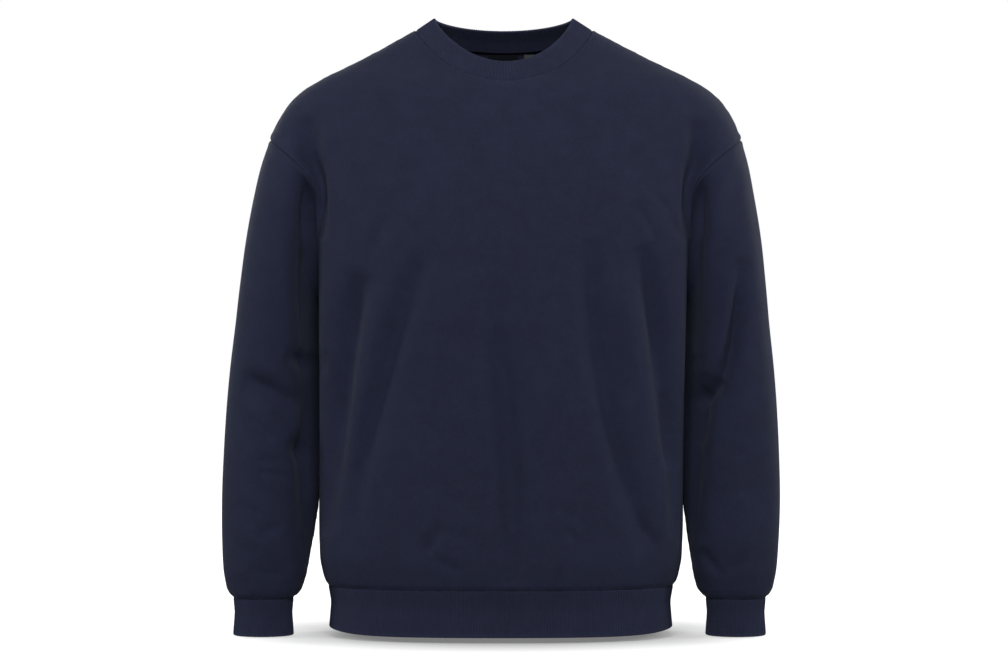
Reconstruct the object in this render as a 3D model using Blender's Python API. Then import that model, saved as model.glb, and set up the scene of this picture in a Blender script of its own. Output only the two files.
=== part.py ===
"""Crewneck sweatshirt, filled out as if worn, with every cut piece a cloth wall of its own.

Metres, +Z up. The front faces -Y and the wearer's left arm is on +X. The origin is in the middle of
the neck opening, level with the top of the shoulders, where the wearer's shoulders carry the garment.

The outside of the garment is one surface, the form: a torso and two arms, each given by level
sections, joined softly at the shoulders. The panels are grids laid between their seams and settled on
the form. Their walls go inward from it, so neighbouring pieces meet along the same seams.
"""
import math

import bmesh
import bpy
import numpy as np
from mathutils import Vector
from mathutils.bvhtree import BVHTree

FLEECE = 0.0021         # wall of the brushed-back body and sleeves
RIB_WALL = 0.0038       # wall of the doubled rib bands
RIB_RELIEF = 0.0010     # how far a rib stands above the groove beside it
SEAM_GAP = 0.0003       # space between two pieces at their seam
ARM_CLEARANCE = 0.0016  # space between a hanging sleeve and the side of the body

NECK_HALF = 0.104       # half the width of the neck seam
NECK_FRONT = 0.100      # how far the neck seam lies in front of the origin, and behind it
NECK_BACK = 0.085
NECK_DROP_FRONT = 0.066
NECK_DROP_BACK = 0.016
COLLAR_HALF = 0.0812    # the same sizes at the top edge of the neckband
COLLAR_FRONT = 0.083
COLLAR_BACK = 0.065
COLLAR_TOP = 0.0153     # height of the neckband's edge at the sides of the neck
COLLAR_DROP_FRONT = 0.0577
COLLAR_DROP_BACK = 0.0083

HEM_SEAM = -0.6500      # height of the seam between body and hem band
HEM_END = -0.7048
HEM_RISE = 0.0055       # how much higher the hem's edge is at the sides of the body
CUFF_SEAM = -0.6655     # height of the seam between sleeve and cuff
CUFF_END = -0.7100

NECK_POINTS = 12        # outer points of a band, ribs and grooves in turn, for each column of the
HEM_POINTS = 14         # cloth it is sewn to, even for the neck and hem bands
CUFF_POINTS = 7
INNER_SHARE = 4         # outer points of a band for each point of its plain inside

ACROSS = 26             # columns of a body panel, and how many of them each shoulder seam has
SHOULDER_COLUMNS = 6
ARMHOLE_ROWS = 10       # rows of a body panel beside the armhole, and below it
SIDE_ROWS = 12
SLEEVE_ROWS = 18

# Level sections of the torso: height, half width, front, back, where it is widest, squareness.
TORSO_COLUMNS = ("half", "front", "back", "widest", "power")
TORSO = (
    (0.020, 0.0780, -0.024, 0.036, 0.000, 2.2),
    (0.008, 0.0930, -0.032, 0.042, 0.000, 2.2),
    (0.000, 0.1040, -0.040, 0.050, 0.000, 2.2),
    (-0.0043, 0.1120, -0.0445, 0.060, 0.000, 2.2),
    (-0.0080, 0.1188, -0.0480, 0.068, 0.000, 2.2),
    (-0.0120, 0.1260, -0.0515, 0.0765, 0.000, 2.2),
    (-0.0160, 0.1336, -0.0555, 0.0850, 0.000, 2.2),
    (-0.0240, 0.1484, -0.0620, 0.0920, 0.000, 2.2),
    (-0.0340, 0.1678, -0.0695, 0.0985, -0.001, 2.2),
    (-0.0460, 0.1912, -0.0790, 0.1040, -0.004, 2.2),
    (-0.0580, 0.2100, -0.0915, 0.1090, -0.008, 2.25),
    (-0.0740, 0.2180, -0.1050, 0.1140, -0.014, 2.3),
    (-0.1000, 0.2200, -0.1140, 0.1200, -0.022, 2.35),
    (-0.1300, 0.2200, -0.1200, 0.1250, -0.034, 2.4),
    (-0.1650, 0.2172, -0.1250, 0.1300, -0.046, 2.4),
    (-0.2200, 0.2155, -0.1310, 0.1330, -0.054, 2.4),
    (-0.3000, 0.2138, -0.1330, 0.1320, -0.055, 2.4),
    (-0.3600, 0.2130, -0.1325, 0.1280, -0.054, 2.4),
    (-0.4200, 0.2122, -0.1315, 0.1250, -0.052, 2.4),
    (-0.5200, 0.2118, -0.1300, 0.1220, -0.046, 2.4),
    (-0.6000, 0.2115, -0.1300, 0.1210, -0.038, 2.45),
    (-0.6250, 0.2100, -0.1290, 0.1190, -0.032, 2.5),
    (-0.6400, 0.2060, -0.1262, 0.1160, -0.028, 2.5),
    (-0.6500, 0.2018, -0.1232, 0.1128, -0.024, 2.5),
    (-0.6620, 0.2008, -0.1222, 0.1116, -0.022, 2.55),
    (-0.7100, 0.2006, -0.1220, 0.1110, -0.020, 2.6),
)

BACK_SQUARER = 0.5      # added squareness of the back half below the shoulders

# Level sections of an arm: height, inner side, outer side, middle and half depth, squareness.
ARM_COLUMNS = ("inner", "outer", "middle", "depth", "power")
ARM = (
    (-0.0450, 0.1500, 0.1870, 0.002, 0.018, 2.1),
    (-0.0580, 0.1300, 0.2154, 0.003, 0.040, 2.1),
    (-0.0696, 0.1200, 0.2366, 0.003, 0.052, 2.1),
    (-0.0814, 0.1200, 0.2508, 0.004, 0.060, 2.1),
    (-0.0932, 0.1220, 0.2602, 0.004, 0.065, 2.1),
    (-0.1050, 0.1250, 0.2673, 0.004, 0.069, 2.15),
    (-0.1286, 0.1400, 0.2773, 0.005, 0.075, 2.2),
    (-0.1520, 0.1650, 0.2850, 0.005, 0.079, 2.2),
    (-0.2000, 0.1960, 0.2956, 0.006, 0.084, 2.2),
    (-0.2500, 0.2044, 0.3042, 0.008, 0.086, 2.2),
    (-0.2900, 0.2090, 0.3092, 0.010, 0.084, 2.2),
    (-0.3150, 0.2132, 0.3120, 0.011, 0.082, 2.2),
    (-0.3400, 0.2148, 0.3146, 0.012, 0.079, 2.2),
    (-0.4000, 0.2146, 0.3212, 0.010, 0.074, 2.2),
    (-0.4500, 0.2144, 0.3250, 0.006, 0.070, 2.2),
    (-0.5000, 0.2146, 0.3272, 0.000, 0.066, 2.2),
    (-0.5530, 0.2150, 0.3284, -0.006, 0.060, 2.2),
    (-0.6000, 0.2216, 0.3274, -0.013, 0.055, 2.15),
    (-0.6240, 0.2258, 0.3262, -0.016, 0.051, 2.1),
    (-0.6360, 0.2278, 0.3250, -0.018, 0.049, 2.1),
    (-0.6460, 0.2306, 0.3232, -0.019, 0.046, 2.05),
    (-0.6560, 0.2345, 0.3202, -0.020, 0.0425, 2.0),
    (-0.6655, 0.2428, 0.3136, -0.021, 0.0362, 2.0),
    (-0.6735, 0.2446, 0.3116, -0.021, 0.0336, 2.0),
    (-0.7200, 0.2446, 0.3112, -0.022, 0.0332, 2.0),
)

# How softly torso and arm run into each other, by height.
BLEND_COLUMNS = ("soft",)
BLEND = (
    (-0.040, 0.006),
    (-0.080, 0.028),
    (-0.130, 0.032),
    (-0.170, 0.018),
    (-0.220, 0.010),
    (-0.270, 0.006),
    (-0.300, 0.003),
    (-0.340, 0.003),
)

# How far from the middle the armhole seam lies, by height, seen from the front. From the last row it
# follows the valley between the torso and the arm down to the underarm.
ARMHOLE_COLUMNS = ("side",)
ARMHOLE = (
    (-0.1100, 0.2830),
    (-0.1300, 0.2750),
    (-0.1460, 0.2560),
    (-0.1650, 0.2350),
    (-0.1840, 0.2180),
)
ARMHOLE_TURN = -0.184
RIDGE = 0.004           # the shoulder seam and the tip of the armhole lie this far behind the origin
UNDERARM = 0.008        # and so far the lowest point of the armhole
CROTCH_FADE_START = -0.312  # from here down a sleeve and the body no longer run into each other
CROTCH_FADE = 0.020

# How far the garment leans sideways, by height.
LEAN_COLUMNS = ("aside",)
LEAN = (
    (0.020, 0.0024),
    (0.000, 0.0030),
    (-0.030, 0.0046),
    (-0.080, 0.0056),
    (-0.130, 0.0048),
    (-0.180, 0.0034),
    (-0.250, 0.0025),
    (-0.330, 0.0013),
    (-0.450, 0.0003),
    (-0.600, -0.0006),
    (-0.720, -0.0008),
)

# How far the left forearm hangs towards the body, by height.
SWING_COLUMNS = ("aside",)
SWING = (
    (-0.500, 0.0000),
    (-0.560, -0.0004),
    (-0.620, -0.0018),
    (-0.670, -0.0029),
    (-0.720, -0.0030),
)

# Largest folds: side of the garment, then start, bend and end as distance from the middle and height,
# then width and depth. A depth below zero is a trough and one above zero is a ridge.
FOLDS = (
    ("front", -0.170, -0.319, -0.182, -0.399, -0.192, -0.467, 0.013, -0.0042),
    ("front", -0.148, -0.319, -0.177, -0.451, -0.196, -0.600, 0.016, 0.0034),
    ("front", -0.096, -0.268, -0.127, -0.376, -0.159, -0.530, 0.015, -0.0044),
    ("front", 0.093, -0.297, 0.136, -0.438, 0.175, -0.591, 0.016, -0.0048),
    ("front", 0.140, -0.300, 0.163, -0.420, 0.188, -0.520, 0.015, 0.0030),
    ("front", 0.175, -0.313, 0.189, -0.399, 0.185, -0.484, 0.012, -0.0036),
    ("front", 0.005, -0.467, 0.009, -0.535, 0.015, -0.598, 0.018, -0.0024),
    ("front", 0.150, -0.157, 0.181, -0.205, 0.206, -0.254, 0.016, -0.0028),
    ("front", -0.178, -0.148, -0.170, -0.205, -0.184, -0.262, 0.016, -0.0022),
    ("front", -0.184, -0.569, -0.161, -0.601, -0.125, -0.622, 0.014, -0.0028),
    ("front", 0.112, -0.592, 0.141, -0.615, 0.171, -0.628, 0.014, -0.0026),
    ("back", -0.172, -0.290, -0.160, -0.410, -0.176, -0.520, 0.016, -0.0040),
    ("back", 0.168, -0.280, 0.152, -0.400, 0.170, -0.540, 0.017, -0.0042),
    ("back", -0.080, -0.300, -0.098, -0.430, -0.090, -0.560, 0.020, -0.0034),
    ("back", 0.070, -0.330, 0.094, -0.450, 0.082, -0.590, 0.020, -0.0034),
    ("back", 0.000, -0.440, -0.006, -0.520, 0.004, -0.600, 0.020, -0.0024),
    ("back", 0.140, -0.150, 0.172, -0.205, 0.196, -0.260, 0.016, -0.0028),
    ("back", -0.142, -0.146, -0.170, -0.200, -0.196, -0.250, 0.016, -0.0026),
    ("front", -0.255, -0.378, -0.233, -0.380, -0.216, -0.367, 0.012, -0.0050),
    ("front", -0.278, -0.413, -0.256, -0.422, -0.235, -0.425, 0.010, -0.0032),
    ("front", -0.288, -0.448, -0.265, -0.466, -0.233, -0.475, 0.010, -0.0034),
    ("front", -0.286, -0.489, -0.262, -0.505, -0.233, -0.510, 0.010, -0.0028),
    ("front", -0.281, -0.538, -0.261, -0.553, -0.237, -0.555, 0.010, -0.0028),
    ("front", 0.274, -0.325, 0.243, -0.420, 0.218, -0.472, 0.013, -0.0046),
    ("front", 0.257, -0.179, 0.255, -0.220, 0.252, -0.261, 0.012, 0.0026),
    ("front", 0.289, -0.457, 0.264, -0.494, 0.234, -0.509, 0.011, -0.0030),
    ("front", 0.285, -0.549, 0.264, -0.572, 0.240, -0.582, 0.011, -0.0026),
    ("back", -0.296, -0.370, -0.262, -0.395, -0.230, -0.385, 0.013, -0.0042),
    ("back", -0.300, -0.450, -0.268, -0.474, -0.236, -0.470, 0.012, -0.0034),
    ("back", -0.298, -0.545, -0.270, -0.562, -0.242, -0.556, 0.012, -0.0030),
    ("back", 0.290, -0.340, 0.262, -0.400, 0.232, -0.420, 0.014, -0.0042),
    ("back", 0.300, -0.470, 0.268, -0.500, 0.238, -0.490, 0.012, -0.0032),
    ("back", 0.296, -0.560, 0.270, -0.580, 0.244, -0.576, 0.012, -0.0028),
)

# Blank woven label and size tab under the back neck seam: middle, half width, top and bottom heights.
LABEL = (0.0018, 0.0175, -0.0200, -0.0440)
SIZE_TAB = (0.0335, 0.0060, -0.0200, -0.0330)
LABEL_WALL = 0.0007


def columns_at(table, names, heights):
    """The named columns of a table at the given heights, on smooth curves through its rows."""
    rows = np.array(sorted(table))
    level = rows[:, 0]
    values = rows[:, 1:]
    slopes = np.gradient(values, level, axis=0)
    heights = np.asarray(heights, float)
    low = np.clip(np.searchsorted(level, heights) - 1, 0, len(level) - 2)
    step = level[low + 1] - level[low]
    t = np.clip((heights - level[low]) / step, 0.0, 1.0)[..., None]
    step = step[..., None]
    start = values[low] * (1 + 2 * t) + slopes[low] * step * t
    end = values[low + 1] * (3 - 2 * t) - slopes[low + 1] * step * (1 - t)
    found = start * (1 - t) ** 2 + end * t ** 2
    return {name: found[..., k] for k, name in enumerate(names)}


def off_section(x, y, half_x, half_y, power):
    """How far a point is outside a rounded section, below zero inside it."""
    u = np.abs(x) / half_x + 1e-9
    v = np.abs(y) / half_y + 1e-9
    size = (u ** power + v ** power) ** (1 / power)
    slope = np.hypot(u ** (power - 1) / half_x, v ** (power - 1) / half_y) * size ** (1 - power)
    return (size - 1) / slope


def torso_section(y, heights):
    """Half width, distance from the widest place, half depth and squareness at y on each level."""
    c = columns_at(TORSO, TORSO_COLUMNS, heights)
    off = y - c["widest"]
    half_y = np.where(off < 0, c["widest"] - c["front"], c["back"] - c["widest"])
    below_yoke = np.clip((-0.060 - heights) / 0.10, 0.0, 1.0)
    power = c["power"] + np.where(off < 0, 0.0, BACK_SQUARER * below_yoke)
    return c["half"], off, half_y, power


def off_torso(points):
    half, off, half_y, power = torso_section(points[..., 1], points[..., 2])
    return off_section(points[..., 0], off, half, half_y, power)


def off_arm(points):
    c = columns_at(ARM, ARM_COLUMNS, points[..., 2])
    x = np.abs(points[..., 0]) - (c["inner"] + c["outer"]) / 2
    above = np.maximum(points[..., 2] - ARM[0][0], 0.0)
    half_x = (c["outer"] - c["inner"]) / 2
    return off_section(x, points[..., 1] - c["middle"], half_x, c["depth"], c["power"]) + above * 2


def join_softly(a, b, soft):
    near = np.maximum(soft - np.abs(a - b), 0.0) / soft
    return np.minimum(a, b) - near * near * soft / 4


def below_crotch(heights):
    """0 down to the crotch of the armhole and 1 from a little under it."""
    t = np.clip((CROTCH_FADE_START - heights) / CROTCH_FADE, 0.0, 1.0)
    return t * t * (3 - 2 * t)


def off_form(points):
    """The whole outside: torso and arms joined."""
    soft = columns_at(BLEND, BLEND_COLUMNS, points[..., 2])["soft"]
    return join_softly(off_torso(points), off_arm(points), soft)


def off_body(points):
    """What the front and back lie on: the form, and the torso alone under the arms."""
    soft = columns_at(BLEND, BLEND_COLUMNS, points[..., 2])["soft"]
    apart = below_crotch(points[..., 2]) * 0.05
    return join_softly(off_torso(points), off_arm(points) + apart, soft)


def off_sleeve(points):
    """What a sleeve lies on: the form, and under the armhole the arm, kept clear of the torso."""
    soft = columns_at(BLEND, BLEND_COLUMNS, points[..., 2])["soft"]
    apart = below_crotch(points[..., 2]) * 0.05
    arm = off_arm(points)
    torso = off_torso(points)
    joined = join_softly(arm, torso + apart, soft)
    clear = ARM_CLEARANCE - torso - (0.05 - apart)
    return -join_softly(-joined, -clear, 0.004)


def outward(off, points):
    """Unit direction away from the form at each point."""
    step = 0.0008
    slope = np.empty_like(points)
    for axis in range(3):
        move = np.zeros(3)
        move[axis] = step
        slope[..., axis] = off(points + move) - off(points - move)
    slope /= 2 * step
    size = np.linalg.norm(slope, axis=-1, keepdims=True)
    return slope / np.maximum(size, 1e-9), size[..., 0]


def settle(off, points, rounds=24, reach=0.012):
    """Moves points along the form's own direction until they lie on it."""
    points = np.array(points, float)
    for _ in range(rounds):
        way, size = outward(off, points)
        move = -off(points) / np.maximum(size, 0.35)
        points += way * np.clip(move, -reach, reach)[..., None]
    return points


def spread(line, count, crowd=None):
    """count + 1 points along a line, evenly, or at the given shares of its length."""
    line = np.asarray(line, float)
    length = np.concatenate([[0.0], np.cumsum(np.linalg.norm(np.diff(line, axis=0), axis=1))])
    share = np.linspace(0.0, 1.0, count + 1) if crowd is None else np.asarray(crowd)
    return np.stack([np.interp(share * length[-1], length, line[:, k]) for k in range(3)], axis=1)


def neck_ring(angle, half, front, back, top, drop_front, drop_back):
    """A ring round the neck: angle 0 is the middle of the front and pi the middle of the back."""
    cosine = np.cos(angle)
    lean = np.abs(cosine)
    y = np.where(cosine > 0, -front * lean, back * lean)
    drop = np.where(cosine > 0, drop_front * lean ** 1.5, drop_back * lean ** 1.5)
    return np.stack([half * np.sin(angle), y, top - drop], axis=-1)


def neck_seam(angle):
    return neck_ring(angle, NECK_HALF, NECK_FRONT, NECK_BACK, 0.0, NECK_DROP_FRONT, NECK_DROP_BACK)


def neck_edge(angle):
    return neck_ring(angle, COLLAR_HALF, COLLAR_FRONT, COLLAR_BACK, COLLAR_TOP,
                     COLLAR_DROP_FRONT, COLLAR_DROP_BACK)


def halve(off_along, low, high):
    """Where off_along changes sign between low (inside) and high (outside), by halving."""
    for _ in range(50):
        middle = (low + high) / 2
        inside = off_along(middle) < 0
        low = np.where(inside, middle, low)
        high = np.where(inside, high, middle)
    return (low + high) / 2


def torso_side(y, height):
    """Half width of the torso at distance y behind the origin."""
    half, off, half_y, power = torso_section(y, height)
    share = np.clip(np.abs(off) / half_y, 0.0, 0.999)
    return half * (1 - share ** power) ** (1 / power)


def eased(count):
    """Shares from 0 to 1 that start close together."""
    return 1 - np.cos(np.linspace(0.0, math.pi / 2, count))


def armhole_line(side):
    """Front or back half of the +X armhole, from the shoulder to the underarm (side -1 is front)."""
    def seam_point(height, y):
        x = columns_at(ARMHOLE, ARMHOLE_COLUMNS, height)["side"]
        return np.stack(np.broadcast_arrays(x, y, height), axis=-1).astype(float)

    def side_point(height, y):
        x = torso_side(y, height)
        return np.stack(np.broadcast_arrays(x, y, height), axis=-1).astype(float)

    top = halve(lambda z: off_form(seam_point(z, RIDGE)), np.array(-0.160), np.array(-0.090))
    low = halve(lambda z: off_arm(side_point(z, UNDERARM)), np.array(-0.250), np.array(-0.335))
    upper = top + (ARMHOLE_TURN - top) * eased(30)[1:]
    y = halve(lambda v: off_form(seam_point(upper, v)), np.full_like(upper, RIDGE),
              np.full_like(upper, side * 0.16))
    upper = seam_point(upper, y)
    lower = low + (ARMHOLE_TURN - 0.022 - low) * eased(30)[1:][::-1]
    widest = columns_at(TORSO, TORSO_COLUMNS, lower)["widest"]
    y = halve(lambda v: off_arm(side_point(lower, v)), np.full_like(lower, UNDERARM),
              widest if side < 0 else np.full_like(lower, 0.110))
    lower = side_point(lower, y)
    line = np.concatenate([[seam_point(top, RIDGE)], upper, lower, [side_point(low, UNDERARM)]])
    line = spread(line, 60)
    for _ in range(12):
        line[1:-1] = (line[:-2] + 2 * line[1:-1] + line[2:]) / 4
        line[1:-1] = settle(off_form, line[1:-1], rounds=4)
    ends = settle(off_form, line[[0, -1]])
    line[0] = ends[0]
    line[-1] = ends[1]
    return line


def mirrored(points):
    return points * np.array([-1.0, 1.0, 1.0])


def swung(points):
    """The left sleeve with its forearm as it hangs."""
    moved = points.copy()
    moved[..., 0] += columns_at(SWING, SWING_COLUMNS, points[..., 2])["aside"]
    return moved


def patch(top, bottom, left, right):
    """A grid between four lines, rows from top to bottom and columns from left to right."""
    length = np.linalg.norm(np.diff(right, axis=0), axis=1)
    v = (np.concatenate([[0.0], np.cumsum(length)]) / length.sum())[:, None, None]
    u = np.linspace(0.0, 1.0, len(top))[None, :, None]
    rows = left[:, None] * (1 - u) + right[:, None] * u
    lines = top[None] * (1 - v) + bottom[None] * v
    corners = (top[0] * (1 - u) * (1 - v) + top[-1] * u * (1 - v)
               + bottom[0] * (1 - u) * v + bottom[-1] * u * v)
    return rows + lines - corners


def fold_relief(points, way):
    """How far the folds move each point along its outward direction."""
    move = np.zeros(points.shape[:-1])
    for side, x0, z0, x1, z1, x2, z2, width, depth in FOLDS:
        facing = -1.0 if side == "front" else 1.0
        t = np.linspace(0.0, 1.0, 9)[:, None]
        ends = np.array([[x0, z0]]) * (1 - t) * (1 - 2 * t) + np.array([[x2, z2]]) * t * (2 * t - 1)
        line = ends + np.array([[x1, z1]]) * 4 * t * (1 - t)
        here = points[..., [0, 2]]
        nearest = np.full(points.shape[:-1], 9.0)
        along = np.zeros(points.shape[:-1])
        for k in range(8):
            run = line[k + 1] - line[k]
            share = np.clip(((here - line[k]) @ run) / (run @ run), 0.0, 1.0)
            gap = np.linalg.norm(here - line[k] - share[..., None] * run, axis=-1)
            along = np.where(gap < nearest, (k + share) / 8, along)
            nearest = np.minimum(gap, nearest)
        taper = np.sin(math.pi * np.clip(along, 0.0, 1.0)) ** 0.7
        facing_share = np.clip(way[..., 1] * facing * 2.0, 0.0, 1.0)
        move += depth * np.exp(-(nearest / width) ** 2) * taper * facing_share
    return move


def seam_quiet(shape, rows=(True, True), columns=(True, True)):
    """0 on the border vertices of a grid and 1 inside it, so that folds leave the seams in place."""
    quiet = np.ones(shape)
    if rows[0]:
        quiet[0] = 0.0
    if rows[1]:
        quiet[-1] = 0.0
    if columns[0]:
        quiet[:, 0] = 0.0
    if columns[1]:
        quiet[:, -1] = 0.0
    return quiet


def across_seam(line, way, beside, closed=False):
    """For each point of a seam, the way into its cloth, level with the face and square to the seam."""
    if closed:
        line = np.concatenate([line, line[:1]])
        way = np.concatenate([way, way[:1]])
        beside = np.concatenate([beside, beside[:1]])
    run = np.diff(line, axis=0)
    square = np.cross((way[:-1] + way[1:]) / 2, run)
    square /= np.linalg.norm(square, axis=1, keepdims=True)
    square *= np.sign((square * (beside - line)[:-1]).sum())
    if closed:
        before = np.roll(square, 1, axis=0)
        after = square
    else:
        before = np.concatenate([square[:1], square])
        after = np.concatenate([square, square[-1:]])
    meet = np.maximum(1 + (before * after).sum(axis=1, keepdims=True), 0.4)
    return (before + after) / meet


def seam_moves(grid, way, closed=False):
    """Draws the borders of a grid in by half the seam gap."""
    moves = np.zeros_like(grid)
    half = SEAM_GAP / 2
    moves[0] += across_seam(grid[0], way[0], grid[1], closed) * half
    moves[-1] += across_seam(grid[-1], way[-1], grid[-2], closed) * half
    if not closed:
        moves[:, 0] += across_seam(grid[:, 0], way[:, 0], grid[:, 1]) * half
        moves[:, -1] += across_seam(grid[:, -1], way[:, -1], grid[:, -2]) * half
    return moves


def material(name, colour, roughness):
    made = bpy.data.materials.new(name)
    made.use_nodes = True
    shader = made.node_tree.nodes["Principled BSDF"]
    shader.inputs["Base Color"].default_value = (*colour, 1.0)
    shader.inputs["Roughness"].default_value = roughness
    shader.inputs["Metallic"].default_value = 0.0
    made.diffuse_color = (*colour, 1.0)
    return made


def finish_object(name, bm, made, straight=True):
    """Closes a mesh into an object with its faces pointing out, leaning if it is still straight."""
    for vert in bm.verts if straight else ():
        vert.co.x += float(columns_at(LEAN, LEAN_COLUMNS, vert.co.z)["aside"])
    bmesh.ops.recalc_face_normals(bm, faces=bm.faces)
    mesh = bpy.data.meshes.new(name)
    bm.to_mesh(mesh)
    bm.free()
    if mesh_volume(mesh) < 0:
        mesh.flip_normals()
    mesh.materials.append(made)
    mesh.shade_smooth()
    mesh.set_sharp_from_angle(angle=math.radians(50))
    made_object = bpy.data.objects.new(name, mesh)
    bpy.context.scene.collection.objects.link(made_object)
    return made_object


def mesh_volume(mesh):
    mesh.calc_loop_triangles()
    total = 0.0
    for triangle in mesh.loop_triangles:
        a, b, c = (mesh.vertices[i].co for i in triangle.vertices)
        total += a.dot(b.cross(c))
    return total / 6


def split_quad(bm, a, b, c, d):
    """A quad as two triangles along its shorter diagonal."""
    if (a.co - c.co).length <= (b.co - d.co).length:
        bm.faces.new((a, b, c))
        bm.faces.new((a, c, d))
    else:
        bm.faces.new((a, b, d))
        bm.faces.new((b, c, d))


def wall_object(name, outer, inner, made, closed=False, straight=True):
    """A wall between two grids alike. A closed one goes all round, so it has no side borders."""
    rows, columns = outer.shape[:2]
    bm = bmesh.new()
    skins = [[[bm.verts.new(p) for p in row] for row in skin] for skin in (outer, inner)]
    last = columns if closed else columns - 1
    for skin in skins:
        for i in range(rows - 1):
            for j in range(last):
                k = (j + 1) % columns
                split_quad(bm, skin[i][j], skin[i][k], skin[i + 1][k], skin[i + 1][j])
    out, into = skins
    for i in (0, rows - 1):
        for j in range(last):
            k = (j + 1) % columns
            split_quad(bm, out[i][j], out[i][k], into[i][k], into[i][j])
    if not closed:
        for j in (0, columns - 1):
            for i in range(rows - 1):
                split_quad(bm, out[i][j], out[i + 1][j], into[i + 1][j], into[i][j])
    return finish_object(name, bm, made, straight)


def band_object(name, outer, inner, made):
    """A ring of ribs: outer rows hold a whole number of points for each point of the inner rows."""
    bm = bmesh.new()
    out = [[bm.verts.new(p) for p in row] for row in outer]
    into = [[bm.verts.new(p) for p in row] for row in inner]
    for skin in (out, into):
        count = len(skin[0])
        for upper, lower in zip(skin[:-1], skin[1:]):
            for j in range(count):
                k = (j + 1) % count
                split_quad(bm, upper[j], upper[k], lower[k], lower[j])
    many, few = len(out[0]), len(into[0])
    ratio = many // few
    for fine, coarse in ((out[0], into[0]), (out[-1], into[-1])):
        for j in range(few):
            k = (j + 1) % few
            half = j * ratio + ratio // 2
            for i in range(j * ratio, j * ratio + ratio):
                corner = coarse[j] if i < half else coarse[k]
                bm.faces.new((fine[i], fine[(i + 1) % many], corner))
            bm.faces.new((coarse[j], fine[half % many], coarse[k]))
    return finish_object(name, bm, made)


def around(line, count):
    """Points round a closed line of corners, count of them for each of its pieces, on its straights."""
    following = np.roll(line, -1, axis=0)
    share = np.arange(count)[None, :, None] / count
    found = line[:, None] * (1 - share) + following[:, None] * share
    return found.reshape(-1, 3)


def ring_sides(ring):
    """Outward level direction at each point of a ring, from its neighbours."""
    run = np.roll(ring, -1, axis=0) - np.roll(ring, 1, axis=0)
    way = np.stack([run[:, 1], -run[:, 0], np.zeros(len(ring))], axis=1)
    way /= np.linalg.norm(way, axis=1, keepdims=True)
    middle = ring.mean(axis=0)
    flip = np.sign(((ring - middle) * way).sum(axis=1).mean())
    return way * flip


def ribbed(ring, way, relief=RIB_RELIEF):
    """Every second point drawn in, so that ribs stand between grooves."""
    found = ring.copy()
    found[1::2] -= way[1::2] * relief
    return found


def build_shell():
    front_line = armhole_line(-1)
    back_line = armhole_line(1)
    right_front = spread(front_line, ARMHOLE_ROWS)
    right_back = spread(back_line, ARMHOLE_ROWS)
    tip = right_front[0]
    crotch = right_front[-1]
    angles = np.linspace(-math.pi / 2, math.pi / 2, ACROSS - 2 * SHOULDER_COLUMNS + 1)
    front_neck = settle(off_form, neck_seam(angles))
    back_neck = settle(off_form, neck_seam(math.pi - angles))
    corner = (front_neck[-1] + back_neck[-1]) / 2
    shoulder = np.linspace(corner, tip, SHOULDER_COLUMNS + 1)
    lift = np.sin(np.linspace(0.0, math.pi, SHOULDER_COLUMNS + 1))[:, None] * np.array([0.0, 0.0, 0.03])
    shoulder = settle(off_form, shoulder + lift)
    shoulder[0] = corner
    shoulder[-1] = tip
    level = np.linspace(0.0, 1.0, 40)[:, None]
    side_end = np.array([columns_at(TORSO, TORSO_COLUMNS, HEM_SEAM)["half"], -0.010, HEM_SEAM])
    side = settle(off_body, crotch * (1 - level) + side_end * level)
    side[:, 2] = np.minimum(side[:, 2], crotch[2])
    side[0] = crotch
    crowd = np.concatenate([np.linspace(0.0, 0.90, SIDE_ROWS - 1), [0.955, 1.0]])
    side = spread(side, SIDE_ROWS, crowd)
    side[-1, 2] = HEM_SEAM
    hem_x = np.linspace(-1.0, 1.0, ACROSS + 1)
    panels = {}
    hems = {}
    for name, facing, neck, armhole in (("front", -1, front_neck, right_front), ("back", 1, back_neck, right_back)):
        flare = np.sin(hem_x * math.pi / 2)
        start = np.stack([flare * side[-1, 0], np.full(ACROSS + 1, 0.0), np.full(ACROSS + 1, HEM_SEAM)], axis=1)
        depth = halve(lambda y: off_torso(np.stack([start[:, 0] * 0.9995, y, start[:, 2]], axis=1)),
                      np.full(ACROSS + 1, side[-1, 1]), np.full(ACROSS + 1, facing * 0.2))
        start[:, 1] = depth
        start[0] = mirrored(side[-1])
        start[-1] = side[-1]
        bottom = spread(start, ACROSS)
        left_shoulder = mirrored(shoulder)[::-1]
        top = np.concatenate([left_shoulder[:-1], neck, shoulder[1:]])
        top[SHOULDER_COLUMNS] = mirrored(corner)
        top[ACROSS - SHOULDER_COLUMNS] = corner
        right = np.concatenate([armhole, side[1:]])
        left = mirrored(right)
        grid = patch(top, bottom, left, right)
        inside = grid[1:-1, 1:-1].copy()
        inside[..., 1] += facing * 0.02
        grid[1:-1, 1:-1] = settle(off_body, inside)
        panels[name] = grid
        hems[name] = bottom
    loop = np.concatenate([right_front, right_back[1:-1][::-1]])
    return panels, hems, front_neck, back_neck, loop


def relax(off, grid, rounds=30, closed=False):
    """Evens out the inner points of a grid and keeps them on the form."""
    grid = grid.copy()
    for _ in range(rounds):
        if closed:
            inner = grid[1:-1]
            sides = (np.roll(inner, 1, axis=1) + np.roll(inner, -1, axis=1)) / 2
            ends = (grid[:-2] + grid[2:]) / 2
            grid[1:-1] += 0.5 * ((sides + ends) / 2 - inner)
            grid[1:-1] = settle(off, grid[1:-1], rounds=2)
        else:
            inner = grid[1:-1, 1:-1]
            around_it = (grid[1:-1, :-2] + grid[1:-1, 2:] + grid[:-2, 1:-1] + grid[2:, 1:-1]) / 4
            grid[1:-1, 1:-1] += 0.5 * (around_it - inner)
            grid[1:-1, 1:-1] = settle(off, grid[1:-1, 1:-1], rounds=2)
    return grid


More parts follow.
